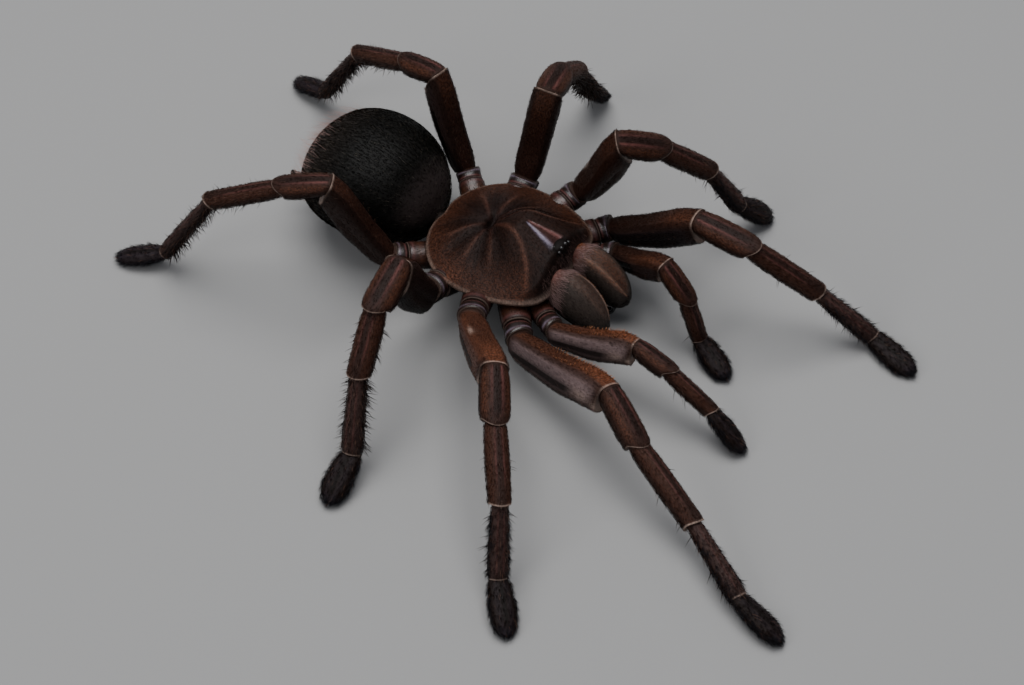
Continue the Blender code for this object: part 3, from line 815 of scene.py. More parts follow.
def make_jaw(side):
    """One jaw, with its masks. On either side, outward is -1 at the inner edge and 1 at the outer."""
    looks = JAW_LOOKS[side]
    rows, t, turn = oval_loft(jaw_sections(side), around=84, count=72)
    t, outward, height = t[:, None], SIDES[side] * np.cos(turn)[None, :], np.sin(turn)[None, :]
    top = height > 0
    rows[..., 0] += SIDES[side] * JAW_FLATTENING * np.maximum(-outward, 0) ** 3
    ridge = bump(-0.62, 0.10, outward) * top * window(0.24, 0.90, 0.06, t)
    second = bump(0.30, 0.14, outward) * top * window(0.28, 0.80, 0.1, t)
    furrow = bump(-0.25, 0.2, outward) * top * window(0.28, 0.8, 0.1, t)
    rows[..., 2] += 0.24 * ridge + 0.06 * second - 0.12 * furrow
    base = smooth_step(0.30, 0.20, t) * top
    joint_skin = base * smooth_step(-0.35, 0.0, outward) * looks["joint_skin"]
    warm = looks["warmth"] * bump(-0.15, 0.45, outward) * top * window(0.20, 0.85, 0.15, t)
    shade = 0.2 * furrow + 0.45 * smooth_step(0.75, 0.97, t) + 0.6 * smooth_step(0.3, -0.5, height)
    masks = full_masks(
        rows.shape[:2],
        rust=np.clip(0.50 * ridge + 0.08 * second + warm + 0.15 * base + 0.8 * joint_skin, 0, 1),
        dark=np.clip(shade, 0, 1),
        pale=looks["ridge_pale"] * ridge + 0.03 * second,
        bare=0.30 * base * (1 - joint_skin) * smooth_step(0.95, 0.4, outward),
        fur=1 - 0.7 * smooth_step(0.9, 1.0, t),
        comb=ridge,
        fringe=window(0.14, 0.30, 0.04, t) * smooth_step(-0.4, 0.2, height),
        bristles=0.3 + 0.7 * smooth_step(-0.1, -0.7, height) * smooth_step(0.3, 0.7, t),
        reach=0.8 + 0.5 * smooth_step(0.0, -0.8, height),
    )
    return grid_skin(side + "_chelicera_skin", rows, masks)


jaw_skins = [make_jaw(side) for side in SIDES]
print("jaws:", len(jaw_skins))

# %% Fangs
# Forward, out, up and radius.
FANG_SECTIONS = (
    (28.2, 4.2, 6.0, 0.8), (28.1, 4.2, 4.0, 1.15), (26.8, 4.0, 2.9, 1.15), (24.4, 3.6, 2.4, 0.95),
    (21.6, 3.2, 2.7, 0.6), (19.0, 2.8, 3.4, 0.12),
)


def make_fang(side):
    rows = oval_loft(on_side(side, FANG_SECTIONS), around=28, count=48)[0]
    return grid_skin(side + "_fang", rows, full_masks(rows.shape[:2], fur=0.0))


fangs = [make_fang(side) for side in SIDES]
print("fangs:", len(fangs))

# %% [markdown]
# ### The carapace
#
# The back plate is one domed shield. Muscles pull on it from inside at a deep pit, the fovea.
# From there broad shallow valleys run out between narrow pale ridges, and the first pair of
# ridges fences off the raised head. The grid is polar, so a ridge is a narrow rise at one
# angle. Behind the eyes two bald, shiny streaks meet in a V, painted pink and lilac as
# reflections of the sky.

# %% Outline and dome
# Forward and left, along the left half of the margin, from the brow to the back.
CARAPACE_OUTLINE = (
    (18.3, 0.0), (18.4, 5.0), (18.2, 9.2), (16.8, 12.6), (13.2, 15.2), (8.0, 17.2), (2.5, 18.1),
    (-2.5, 18.1), (-7.5, 16.8), (-12.0, 13.6), (-15.2, 9.0), (-16.6, 4.2), (-16.2, 0.0),
)
HALF_OUTLINE_STEPS = 109
CARAPACE_MARGIN, CARAPACE_CROWN, CARAPACE_COAT = 15.3, 23.2, 0.35
RISE_REACH, RISE_ROUNDNESS = 1.15, 0.9
HEAD_RISE, HEAD_HALF_WIDTH, HEAD_SPREAD, HEAD_RIM, HEAD_FLATNESS = 6.4, 7.2, 0.25, 0.1, 2.8
FOVEA = -3.0


def carapace_height(forward, left, inward):
    """The dome of the back, with the head as a plateau that drops steeply to the brow."""
    turn = 0.5 * np.pi * np.minimum(1, inward * RISE_REACH)
    rise = (CARAPACE_CROWN - CARAPACE_MARGIN) * np.sin(turn) ** RISE_ROUNDNESS
    thorax = np.exp(-(((forward + 5.0) / 12.0) ** 2) - (left / 13.0) ** 2)
    lengthways = smooth_step(-3.5, 6.5, forward) * smooth_step(19.6, 15.6, forward)
    half_width = HEAD_HALF_WIDTH + HEAD_SPREAD * np.maximum(0, forward)
    across = np.exp(-(np.abs(left / half_width) ** HEAD_FLATNESS))
    head = lengthways * across * smooth_step(0, HEAD_RIM, inward)
    return CARAPACE_MARGIN - CARAPACE_COAT + rise * (0.45 + 0.25 * thorax) + HEAD_RISE * head


def carapace_grid():
    """The margin, and the forward, left and inward of every point from the middle out to it."""
    half = np.linspace(0, len(CARAPACE_OUTLINE) - 1, HALF_OUTLINE_STEPS)
    keyed = list(enumerate(CARAPACE_OUTLINE))
    outline = [curve_through([(k, point[i]) for k, point in keyed], half) for i in (0, 1)]
    outline = np.stack(outline, axis=-1)
    outline = np.vstack([outline, outline[-2:0:-1] * (1, -1)])
    inward = np.concatenate([np.linspace(0.985, 0.06, 60), [0.045, 0.03, 0.018, 0.009, 0.003]])[:, None]
    forward = outline[:, 0] * (1 - inward) + inward * FOVEA * 0.5
    return outline, forward, outline[:, 1] * (1 - inward), inward


# %% Ridges, valleys, the pit and the bald streaks
# Each ridge: its angle at the fovea, how far it bends towards the side, where it ends, its strength.
RIDGES = (
    (24.0, 15.5, 20.5, 1.0), (60.0, 0.0, 12.5, 0.6), (92.0, 0.0, 12.0, 0.7), (134.0, 0.0, 11.0, 0.7)
)
VALLEYS = (46.0, 76.0, 113.0, 157.0)
EYES = 15.3
STREAK_TIP, STREAK_END = (6.9, 0.3), (14.6, 1.8)


def add_ridges(plate):
    """Ridges and valleys that fan out from the fovea, and the head that the first ridges fence off."""
    arc = np.radians(1) * plate.radius
    swerve = np.clip((plate.radius - 10) / 12.7, 0, 1) ** 1.6
    ridges = sum(
        strength * bump(0, 0.50, (plate.angle - turn - bend * swerve) * arc)
        * window(1.6, end, 2.0, plate.radius)
        for turn, bend, end, strength in RIDGES
    )
    plate.ridges = np.clip(ridges, 0, 1)
    valleys = sum(bump(0, 1.5, (plate.angle - turn) * arc) for turn in VALLEYS)
    plate.valleys = valleys * window(2.5, 12.5, 2.5, plate.radius)
    head_turn, head_bend = RIDGES[0][:2]
    inside = smooth_step(2, -6, plate.angle - head_turn - head_bend * swerve)
    plate.head = inside * smooth_step(1, 6, plate.radius)


def add_streaks(plate):
    """Two bald streaks behind the eyes that meet in a V, the right one wider."""
    (tip, tip_out), (end, end_out) = STREAK_TIP, STREAK_END
    along = np.clip((plate.forward - tip) / (end - tip), 0, 1)
    line = tip_out + (end_out - tip_out) * along
    width = (0.18 + 0.42 * along) * np.where(plate.left < 0, 1.25, 0.9)
    span = window(tip, end, 0.5, plate.forward)
    plate.bald = bump(0, width, np.abs(plate.left) - line) * span
    plate.between = smooth_step(line, 0.5 * line, np.abs(plate.left)) * span


def carapace_plate():
    """The carapace's grid with everything that stands out of it or is let into it."""
    outline, forward, left, inward = carapace_grid()
    plate = SimpleNamespace(
        outline=outline, forward=forward, left=left, inward=inward,
        radius=np.hypot(forward - FOVEA, left),
        angle=np.abs(np.degrees(np.arctan2(left, forward - FOVEA))),
        pit=np.exp(-(((forward - FOVEA + 0.05 * left**2) / 0.9) ** 2) - (left / 2.0) ** 2),
        brow=smooth_step(12.5, 17.5, forward) * smooth_step(12.5, 9.0, np.abs(left)),
        eye_dip=bump(0, 2.8, np.hypot((forward - EYES) * 1.2, left)),
        edge=smooth_step(0.05, 0.0, inward),
    )
    plate.hollow = np.exp(-((plate.radius / 3.6) ** 2))
    add_ridges(plate)
    add_streaks(plate)
    return plate


# %% The carapace
# How far each ring of the skirt below the margin lies inside it, and its height.
SKIRT = ((0.0, 14.75), (0.012, 14.2), (0.035, 13.95), (0.10, 13.9), (0.3, 13.9))
# The share of the margin's markings that the skirt keeps.
SKIRT_COLOUR = 0.6


def carapace_relief(plate):
    height = carapace_height(plate.forward, plate.left, plate.inward)
    valleys = np.clip(plate.valleys, 0, 1)
    height += 0.2 * plate.head + 0.20 * plate.ridges - 0.5 * valleys - 1.9 * plate.pit - 0.8 * plate.hollow
    height -= 0.25 * plate.eye_dip
    height += 0.22 * bump(0.025, 0.018, plate.inward)
    height -= 0.10 * plate.bald
    return height


def carapace_masks(plate):
    forward, left, inward, bald = plate.forward, plate.left, plate.inward, plate.bald
    speckled = smooth_step(0.55, 0.05, inward) * (1 - plate.head)
    striae = 0.5 + 0.5 * np.sin(np.radians(plate.angle) * 44 + 0.5 * plate.radius)
    striae = striae * smooth_step(1, 5, plate.radius)
    front_corner = bump(0, 3.0, np.hypot(forward - 16.5, left - 12.5))
    side_margin = 0.6 * bump(0, 2.6, np.hypot(forward + 4, left + 16.5))
    shade = 0.4 * plate.valleys + plate.pit + 0.4 * plate.hollow + 0.60 * plate.brow
    shade = shade + 0.6 * plate.eye_dip + 0.04 * plate.head + 0.24 * striae
    rust = 0.24 * plate.ridges + 0.19 * speckled + 0.4 * (front_corner + side_margin) + 0.05
    brow_line = smooth_step(15.6, 16.6, forward) * (np.abs(left) < 9.5)
    return full_masks(
        forward.shape,
        dark=np.clip(shade, 0, 0.95),
        rust=np.clip(rust, 0, 1),
        # The bald streaks are painted reflections of the sky: pink on the left one, lilac on the right one,
        # and a little pink between them.
        bare=np.clip(0.55 * bald * (left >= 0) + 0.10 * plate.between + 0.05 * plate.ridges, 0, 1),
        lilac=0.70 * bald * (left < 0),
        shine=1.4 * bald,
        pale=np.clip(0.04 * plate.ridges * smooth_step(4, 9, plate.radius) + 0.30 * plate.edge, 0, 1),
        fur=np.clip(1 - 0.9 * plate.pit - bald, 0, 1),
        fringe=smooth_step(0.03, 0.01, inward),
        comb=brow_line * smooth_step(0.12, 0.04, inward),
        bristles=0.4 * smooth_step(0.5, 0.0, inward) + 0.4 * plate.eye_dip,
        reach=0.85 + 0.25 * plate.edge,
    )


def make_carapace():
    """The plate, and a skirt of smaller rings that closes it underneath."""
    plate = carapace_plate()
    rows = [np.stack([plate.left, -plate.forward, carapace_relief(plate)], axis=-1)]
    for shrink, up in SKIRT:
        ring = plate.outline * (1 - shrink)
        rows.append(np.stack([ring[:, 1], -ring[:, 0], np.full(len(ring), up)], axis=-1)[None])
    masks = carapace_masks(plate)
    for mask, values in masks.items():
        kept = 0.0 if mask in COAT_MASKS else SKIRT_COLOUR
        masks[mask] = np.vstack([values, np.repeat(values[-1:] * kept, len(SKIRT), axis=0)])
    return grid_skin("carapace_skin", np.concatenate(rows), masks)


carapace_skin = make_carapace()
print("carapace:", len(carapace_skin.data.polygons), "faces")

# %% [markdown]
# ### Eyes and claws
#
# A tarantula's eight small eyes share one low mound at the front of the head. The two round
# ones in front look forward. The other six are smaller ovals at the mound's sides. Each foot
# ends in a pair of curved claws, nearly hidden in its brush. All of these are smooth and
# glossy, which is why they are pieces of their own.

# %% The eye mound and the eyes
MOUND_TOP, MOUND_HALF_WIDTH, MOUND_HALF_LENGTH = 23.05, 2.5, 1.6
# Height beside the top, and how much of its full width the mound has there.
MOUND_PROFILE = (
    (-3.0, 1.0), (-1.9, 1.0), (-1.1, 0.96), (-0.55, 0.85), (-0.2, 0.62), (-0.04, 0.35), (0.0, 0.1)
)
# Each pair of eyes: forward of the mound's middle, out from it, height beside its top, and radius.
EYE_PAIRS = (
    (1.05, 0.80, -0.44, 0.48), (1.20, 1.95, -0.84, 0.40), (-0.35, 2.20, -0.84, 0.36),
    (-0.45, 1.40, -0.48, 0.28),
)
MOUND_AROUND, EYE_AROUND, EYE_ROWS = 40, 24, 14
POLE_GAP = 0.05


def circle(count):
    """Cosines and sines of angles evenly round a circle."""
    turn = 2 * math.pi * np.arange(count) / count
    return np.cos(turn), np.sin(turn)


def joined(parts):
    """Several (points, faces) as one."""
    points, faces, first = [], [], 0
    for part_points, part_faces in parts:
        points.append(part_points)
        faces += [[first + corner for corner in face] for face in part_faces]
        first += len(part_points)
    return np.vstack(points), faces


def ball(centre, sizes):
    """A closed ellipsoid; sizes are its half axes left, forward and up."""
    polar = np.linspace(POLE_GAP, math.pi - POLE_GAP, EYE_ROWS)[:, None]
    cosine, sine = circle(EYE_AROUND)
    places = np.broadcast_arrays(np.sin(polar) * cosine, np.sin(polar) * sine, np.cos(polar))
    return tube(centre + np.stack(places, axis=-1) * sizes)


def make_mound():
    cosine, sine = circle(MOUND_AROUND)
    rows = []
    for rise, size in MOUND_PROFILE:
        across, ahead = MOUND_HALF_WIDTH * size * cosine, MOUND_HALF_LENGTH * size * sine
        rows.append(np.stack(np.broadcast_arrays(across, -EYES - ahead, MOUND_TOP + rise), axis=-1))
    return tube(np.array(rows))


def make_eyes():
    """Eight eyes, half sunk into the mound."""
    eyes = []
    for forward, out, rise, radius in EYE_PAIRS:
        for sign in SIDES.values():
            centre = body_point(EYES + forward, sign * out, MOUND_TOP + rise)
            eyes.append(ball(centre, (radius, radius * 1.1, radius)))
    return joined(eyes)


eye_mound, eye_balls = make_mound(), make_eyes()
print("eyes:", 2 * len(EYE_PAIRS))

# %% Claws
CLAW_LENGTH, CLAW_ROOT, CLAW_ARCH, CLAW_DROP = 1.5, 0.9, 0.55, 0.5
CLAW_RADIUS, CLAW_TIP_RADIUS = 0.22, 0.015
# How far a claw's root is out from the line of the foot, and how much further its tip.
CLAW_OUT, CLAW_SPREAD = 0.45, 0.25
CLAW_CURL = 2.6
CLAW_ROWS, CLAW_AROUND = 9, 8
CLAW_FLOOR_GAP = 0.02


def claw_rows(limb, sign):
    """One claw: it leaves the foot, spreads, and arches over and down to a point."""
    tip, (along, sideways, upward) = limb.joints[-1], limb.axes[-1]
    cosine, sine = circle(CLAW_AROUND)
    rows = []
    for t in np.linspace(0, 1, CLAW_ROWS):
        out = sign * (CLAW_OUT + CLAW_SPREAD * t)
        centre = tip + along * (CLAW_LENGTH * t - CLAW_ROOT) + sideways * out
        centre = centre + np.array([0, 0, CLAW_ARCH * math.sin(CLAW_CURL * t) - CLAW_DROP * t])
        radius = CLAW_RADIUS * (1 - t) ** 0.7 + CLAW_TIP_RADIUS
        rows.append(centre + radius * (cosine[:, None] * sideways + sine[:, None] * upward))
    rows = np.array(rows)
    rows[..., 2] = np.maximum(rows[..., 2], CLAW_FLOOR_GAP)
    return rows


claw_parts = joined([tube(claw_rows(limb, sign)) for limb in limbs for sign in SIDES.values()])
print("claws:", 2 * len(limbs))

# %% [markdown]
# ## Finishes
#
# Velvet is dark at the roots of its hairs and lighter at their tips, and it barely shines. The
# markings are laid over the base colour one after another, each through its own mask. Skin and
# coat use the same recipe, so a marking never shifts between them.

# %% Node helpers
def socket(sockets, name):
    return next(each for each in sockets if each.enabled and each.name == name)


def add_node(tree, kind, inputs=(), **settings):
    """Adds one node, sets it up, and links or fills the inputs that are named."""
    node = tree.nodes.new(kind)
    for key, value in settings.items():
        setattr(node, key, value)
    for name, value in dict(inputs).items():
        entry = node.inputs[name] if isinstance(name, int) else socket(node.inputs, name)
        if isinstance(value, bpy.types.NodeSocket):
            tree.links.new(value, entry)
        else:
            entry.default_value = value
    return node


def maths(tree, operation, *values):
    node = add_node(tree, "ShaderNodeMath", dict(enumerate(values)), operation=operation)
    return node.outputs[0]


def vector_maths(tree, operation, *values):
    node = add_node(tree, "ShaderNodeVectorMath", dict(enumerate(values)), operation=operation)
    return node.outputs[0]


def read_mask(tree, name, output="Fac"):
    return add_node(tree, "ShaderNodeAttribute", attribute_name=name).outputs[output]


def remapped(tree, value, source, target):
    """The value, with the span of source stretched to the span of target."""
    spans = {"From Min": source[0], "From Max": source[1], "To Min": target[0], "To Max": target[1]}
    return add_node(tree, "ShaderNodeMapRange", {"Value": value, **spans}).outputs["Result"]


def mix_colour(tree, share, under, over, blend="MIX"):
    node = add_node(
        tree, "ShaderNodeMix", {"Factor": share, "A": under, "B": over}, data_type="RGBA", blend_type=blend
    )
    return socket(node.outputs, "Result")


def lit(tree, colour, light):
    """The colour made lighter or darker by one number."""
    channels = {"Red": light, "Green": light, "Blue": light}
    grey = add_node(tree, "ShaderNodeCombineColor", channels).outputs[0]
    return mix_colour(tree, 1.0, colour, grey, "MULTIPLY")


# %% One recipe for every velvet
# Some markings also carry painted light. Bare is the pink of bald skin and also the painted highlight on
# bald lines and the left carapace streak. Lilac is a painted reflection of the sky on the hips and the
# right carapace streak, a painted sheen on the feet, and a cool tint on the first femora. Grey is the mauve
# grey of the flanks and also a painted sheen on the abdomen's bald slope.
MARKINGS = {
    "rust": (0.170, 0.056, 0.026, 1.0),
    "grey": (0.230, 0.160, 0.155, 1.0),
    "lilac": (0.330, 0.280, 0.380, 1.0),
    "dark": (0.006, 0.0036, 0.0032, 1.0),
    "bare": (0.260, 0.090, 0.080, 1.0),
    "pale": (0.440, 0.320, 0.260, 1.0),
}
BASES = {
    "leg_velvet": (0.030, 0.0128, 0.0088, 1.0),
    "carapace_velvet": (0.0128, 0.0062, 0.0048, 1.0),
    "abdomen_velvet": (0.0045, 0.0041, 0.0034, 1.0),
    "jaw_velvet": (0.046, 0.035, 0.030, 1.0),
    "underside_velvet": (0.016, 0.010, 0.007, 1.0),
}
# Streaks are this much finer across the hair than along it.
STREAK_GRAIN = (5.0, 1.1, 1.0)
RELIEF_DEPTH = 0.0003
RELIEF = {"skin": 0.5, "bald": 0.2}
ROUGHNESS = {"skin": 0.5, "bald": 0.3, "coat": 0.6}
GLOSS = {"skin": 0.12, "bald": 0.5, "coat": 0.0}


def marked_colour(tree, base):
    """The base colour with every marking laid over it, streaked along the lie of the hair."""
    grain = read_mask(tree, "grain", "Vector")
    flecks = add_node(tree, "ShaderNodeTexNoise", {"Vector": grain, "Scale": 2.6, "Detail": 1.0})
    flecks = remapped(tree, flecks.outputs["Fac"], (0.40, 0.62), (0.45, 1.5))
    colour = base
    for name, over in MARKINGS.items():
        share = read_mask(tree, name)
        if name == "rust":
            share = maths(tree, "MULTIPLY", share, flecks)
        colour = mix_colour(tree, share, colour, over)
    drawn = vector_maths(tree, "MULTIPLY", grain, STREAK_GRAIN)
    streaks = add_node(
        tree, "ShaderNodeTexNoise", {"Vector": drawn, "Scale": 1.0, "Detail": 3.0, "Roughness": 0.6}
    ).outputs["Fac"]
    return lit(tree, colour, remapped(tree, streaks, (0.3, 0.7), (0.72, 1.28))), streaks


def velvet(name, slot, kind):
    """The finish of a furred skin, a bald skin, or the coat, dark at its roots and light at its tips."""
    material = bpy.data.materials.new(name)
    material.use_nodes = True
    tree = material.node_tree
    shader = tree.nodes["Principled BSDF"]
    colour, streaks = marked_colour(tree, BASES[slot])
    if kind == "coat":
        by_tip = maths(tree, "MULTIPLY_ADD", read_mask(tree, "tip"), 0.75, 0.45)
        by_tuft = maths(tree, "MULTIPLY_ADD", read_mask(tree, "shade"), 0.9, 0.6)
        colour = lit(tree, colour, maths(tree, "MULTIPLY", by_tip, by_tuft))
    else:
        relief = {"Height": streaks, "Strength": RELIEF[kind], "Distance": RELIEF_DEPTH}
        tree.links.new(add_node(tree, "ShaderNodeBump", relief).outputs["Normal"], shader.inputs["Normal"])
    tree.links.new(colour, shader.inputs["Base Color"])
    shader.inputs["Roughness"].default_value = ROUGHNESS[kind]
    shader.inputs["Specular IOR Level"].default_value = GLOSS[kind]
    return material


velvets = {kind: {slot: velvet(f"{slot}_{kind}", slot, kind) for slot in BASES} for kind in ROUGHNESS}
print("velvets:", len(BASES), "each as", ", ".join(velvets))


# %% Horn and long hairs
def plain(name, colour, roughness, specular=0.5):
    material = bpy.data.materials.new(name)
    material.use_nodes = True
    shader = material.node_tree.nodes["Principled BSDF"]
    shader.inputs["Base Color"].default_value = (*colour, 1.0)
    shader.inputs["Roughness"].default_value = roughness
    shader.inputs["Specular IOR Level"].default_value = specular
    return material


def haired(name, root_colour, tip_colour, roughness=0.5):
    """A finish for long hairs, from one colour at the root to another at the tip."""
    material = plain(name, root_colour, roughness, 0.1)
    tree = material.node_tree
    colour = mix_colour(tree, read_mask(tree, "tip"), (*root_colour, 1.0), (*tip_colour, 1.0))
    tree.links.new(colour, tree.nodes["Principled BSDF"].inputs["Base Color"])
    return material


horn = plain("horn", (0.010, 0.008, 0.008), 0.14)
eye_gloss = plain("eye_gloss", (0.010, 0.008, 0.008), 0.05, 0.6)
mound_finish = plain("eye_mound", (0.006, 0.004, 0.0035), 0.6, 0.1)
long_hairs = {
    "bristle": haired("pale_bristle", (0.050, 0.022, 0.014), (0.230, 0.130, 0.095)),
    "spine": haired("dark_spine", (0.008, 0.006, 0.006), (0.030, 0.018, 0.015), 0.35),
    "brush": haired("foot_brush", (0.006, 0.005, 0.006), (0.030, 0.028, 0.034)),
    "comb": haired("rust_comb", (0.150, 0.052, 0.022), (0.560, 0.240, 0.120)),
    "fringe": haired("pale_fringe", (0.120, 0.065, 0.045), (0.420, 0.290, 0.220)),
    "beard": haired("pink_fringe", (0.110, 0.050, 0.045), (0.420, 0.280, 0.260)),
    "brow": haired("brow_hair", (0.030, 0.016, 0.013), (0.320, 0.200, 0.180)),
    "dust": haired("dust_hair", (0.020, 0.016, 0.012), (0.200, 0.165, 0.125)),
    "blush": haired("blush_hair", (0.260, 0.150, 0.130), (0.560, 0.380, 0.340)),
}
print("finishes for long hairs:", len(long_hairs))

# %% [markdown]
# ## The coat
#
# Real tarantula hair is stiff and short, and it lies back along the limb like the nap of
# velvet. One node tree grows every kind of it. The tree scatters points by a density mask,
# leans a tuft along the lie, and scales it by the reach mask. It then stores where the tuft's
# root sits on the skin's unwrap, so a whole tuft is coloured from one small patch there.

# %% A tuft of closed spikes
CORNERS = 3
ROOT_DEPTH = 0.08
TAPER = 0.55
TUFT_SEED = 5


def spike_faces(first, segments):
    """Faces of a three-sided spike whose first ring starts at that point."""
    faces = [[first + 2, first + 1, first]]
    for ring in range(segments):
        base = first + CORNERS * ring
        for corner in range(CORNERS):
            after = (corner + 1) % CORNERS
            if ring < segments - 1:
                faces.append([base + corner, base + after, base + CORNERS + after, base + CORNERS + corner])
            else:
                faces.append([base + corner, base + after, base + CORNERS])
    return faces


def make_tuft(name, spikes, thickness, spread=0.0, splay=0.0, bend=0.0, segments=1):
    """Spikes one unit long on Z, three-sided and closed, that curve down towards -Y."""
    chance = np.random.default_rng(TUFT_SEED)
    points, faces, tips, patches = [], [], [], []
    for spike in range(spikes):
        foot, tilt = chance.uniform(-spread, spread, 2), chance.normal(0, splay, 2)
        length, spin = chance.uniform(0.75, 1.0), chance.uniform(0, 2)
        faces += spike_faces(len(points), segments)
        for ring in range(segments + 1):
            t = ring / segments
            x, y, z = foot[0] + tilt[0] * t, foot[1] + tilt[1] * t - bend * t * t, length * t - ROOT_DEPTH
            radius = 0.5 * thickness * (1 - TAPER * t) if ring < segments else 0.0
            for corner in range(CORNERS if ring < segments else 1):
                turn = 2 * math.pi * corner / CORNERS + spin
                points.append([x + radius * math.cos(turn), y + radius * math.sin(turn), z])
                tips.append(t)
                patches.append([(spike + 0.5) / spikes - 0.5, t - 0.5])
    mesh = bpy.data.meshes.new(name)
    mesh.from_pydata(points, [], faces)
    add_attribute(mesh, "tip", tips)
    add_attribute(mesh, "patch", patches, "FLOAT2")
    mesh.shade_smooth()
    return bpy.data.objects.new(name, mesh)


TUFTS = {
    "velvet": make_tuft("velvet_tuft", 4, 0.085, spread=0.26, splay=0.16, bend=0.15),
    "bristle": make_tuft("bristle", 1, 0.030, bend=0.20, segments=3),
    "thread": make_tuft("thread", 1, 0.008, bend=0.15, segments=3),
    "spine": make_tuft("spine", 1, 0.050, bend=0.10, segments=2),
    "brush": make_tuft("brush_tuft", 5, 0.042, spread=0.20, splay=0.12, bend=0.15),
    "stub": make_tuft("stub", 1, 0.16, bend=-0.05, segments=2),
}
print("faces of each tuft:", {name: len(tuft.data.polygons) for name, tuft in TUFTS.items()})

# %% The node tree that grows it
COAT_INPUTS = (
    ("Skin", "NodeSocketGeometry"), ("Tuft", "NodeSocketObject"), ("Where", "NodeSocketString"),
    ("Density", "NodeSocketFloat"), ("Length", "NodeSocketFloat"), ("Lift", "NodeSocketFloat"),
    ("Unruly", "NodeSocketFloat"), ("Seed", "NodeSocketInt"), ("Finish", "NodeSocketMaterial"),
)
# The side of the patch of the unwrap that colours one tuft.
PATCH = 0.003
SHORTEST, LONGEST = 0.7, 1.15
SHADE_SEED, SIZE_SEED = 7, 3


def named(tree, name, kind="FLOAT"):
    node = add_node(tree, "GeometryNodeInputNamedAttribute", {"Name": name}, data_type=kind)
    return socket(node.outputs, "Attribute")


def scaled(tree, vector, scale):
    return add_node(tree, "ShaderNodeVectorMath", {0: vector, "Scale": scale}, operation="SCALE").outputs[0]


def random_value(tree, kind, low, high, seed):
    span = {"Min": low, "Max": high, "Seed": seed}
    node = add_node(tree, "FunctionNodeRandomValue", span, data_type=kind)
    return socket(node.outputs, "Value")


def stored(tree, geometry, name, value, kind, domain):
    node = add_node(
        tree, "GeometryNodeStoreNamedAttribute", {"Geometry": geometry, "Name": name, "Value": value},
        data_type=kind, domain=domain,
    )
    return node.outputs["Geometry"]


def tuft_rotation(tree, normal, given):
    """Turns a tuft's Z from the lie towards the normal by Lift, and its Y to the normal."""
    along = scaled(tree, named(tree, "lie", "FLOAT_VECTOR"), maths(tree, "COSINE", given["Lift"]))
    outward = scaled(tree, normal, maths(tree, "SINE", given["Lift"]))
    stray = random_value(tree, "FLOAT_VECTOR", (-1.0, -1.0, -1.0), (1.0, 1.0, 1.0), given["Seed"])
    lean = vector_maths(tree, "ADD", along, outward)
    lean = vector_maths(tree, "ADD", lean, scaled(tree, stray, given["Unruly"]))
    leaned = add_node(tree, "FunctionNodeAlignRotationToVector", {"Vector": lean}, axis="Z").outputs[0]
    return add_node(
        tree, "FunctionNodeAlignRotationToVector", {"Rotation": leaned, "Vector": normal},
        axis="Y", pivot_axis="Z",
    ).outputs[0]


def build_coat_tree():
    tree = bpy.data.node_groups.new("coat", "GeometryNodeTree")
    for name, kind in COAT_INPUTS:
        tree.interface.new_socket(name, in_out="INPUT", socket_type=kind)
    tree.interface.new_socket("Coat", in_out="OUTPUT", socket_type="NodeSocketGeometry")
    given = tree.nodes.new("NodeGroupInput").outputs
    density = maths(tree, "MULTIPLY", named(tree, given["Where"]), given["Density"])
    points = add_node(
        tree, "GeometryNodeDistributePointsOnFaces",
        {"Mesh": given["Skin"], "Density": density, "Seed": given["Seed"]}, distribute_method="RANDOM",
    ).outputs
    shade = random_value(tree, "FLOAT", 0.0, 1.0, SHADE_SEED)
    reach = maths(tree, "MULTIPLY", named(tree, "reach"), given["Length"])
    planted = add_node(tree, "GeometryNodeInstanceOnPoints", {
        "Points": stored(tree, points["Points"], "shade", shade, "FLOAT", "POINT"),
        "Instance": add_node(tree, "GeometryNodeObjectInfo", {"Object": given["Tuft"]}).outputs["Geometry"],
        "Rotation": tuft_rotation(tree, points["Normal"], given),
        "Scale": maths(tree, "MULTIPLY", reach, random_value(tree, "FLOAT", SHORTEST, LONGEST, SIZE_SEED)),
    })
    real = add_node(tree, "GeometryNodeRealizeInstances", {"Geometry": planted.outputs["Instances"]})
    patch = scaled(tree, named(tree, "patch", "FLOAT_VECTOR"), PATCH)
    spot = vector_maths(tree, "ADD", named(tree, "unwrap", "FLOAT_VECTOR"), patch)
    mapped = stored(tree, real.outputs["Geometry"], "OFBake", spot, "FLOAT2", "CORNER")
    finished = add_node(tree, "GeometryNodeSetMaterial", {"Geometry": mapped, "Material": given["Finish"]})
    add_node(tree, "NodeGroupOutput", {"Coat": finished.outputs["Geometry"]})
    return tree


coat_tree = build_coat_tree()
coat_sockets = {
    item.name: item.identifier for item in coat_tree.interface.items_tree if item.in_out == "INPUT"
}
print("nodes that grow a coat:", len(coat_tree.nodes))

# %% One piece of coat
# Each kind: the tuft it is made of, the mask that says where, its lift off the skin in radians,
# and its disorder.
HAIRS = {
    "velvet": ("velvet", "fur", 0.36, 0.12),
    "plush": ("velvet", "fur", 0.45, 0.15),
    "bristle": ("bristle", "bristles", 0.75, 0.20),
    "spine": ("spine", "spines", 1.10, 0.25),
    "brush": ("brush", "brush", 0.80, 0.16),
    "comb": ("stub", "comb", 1.05, 0.10),
    "fringe": ("bristle", "fringe", 0.30, 0.15),
    "beard": ("bristle", "fringe", 0.42, 0.22),
    "brow": ("bristle", "comb", 0.55, 0.25),
    "dust": ("bristle", "bristles", 0.50, 0.25),
    "blush": ("thread", "fringe", 0.75, 0.25),
}
# Every coat piece made so far, with its number of triangles.
coats = {}


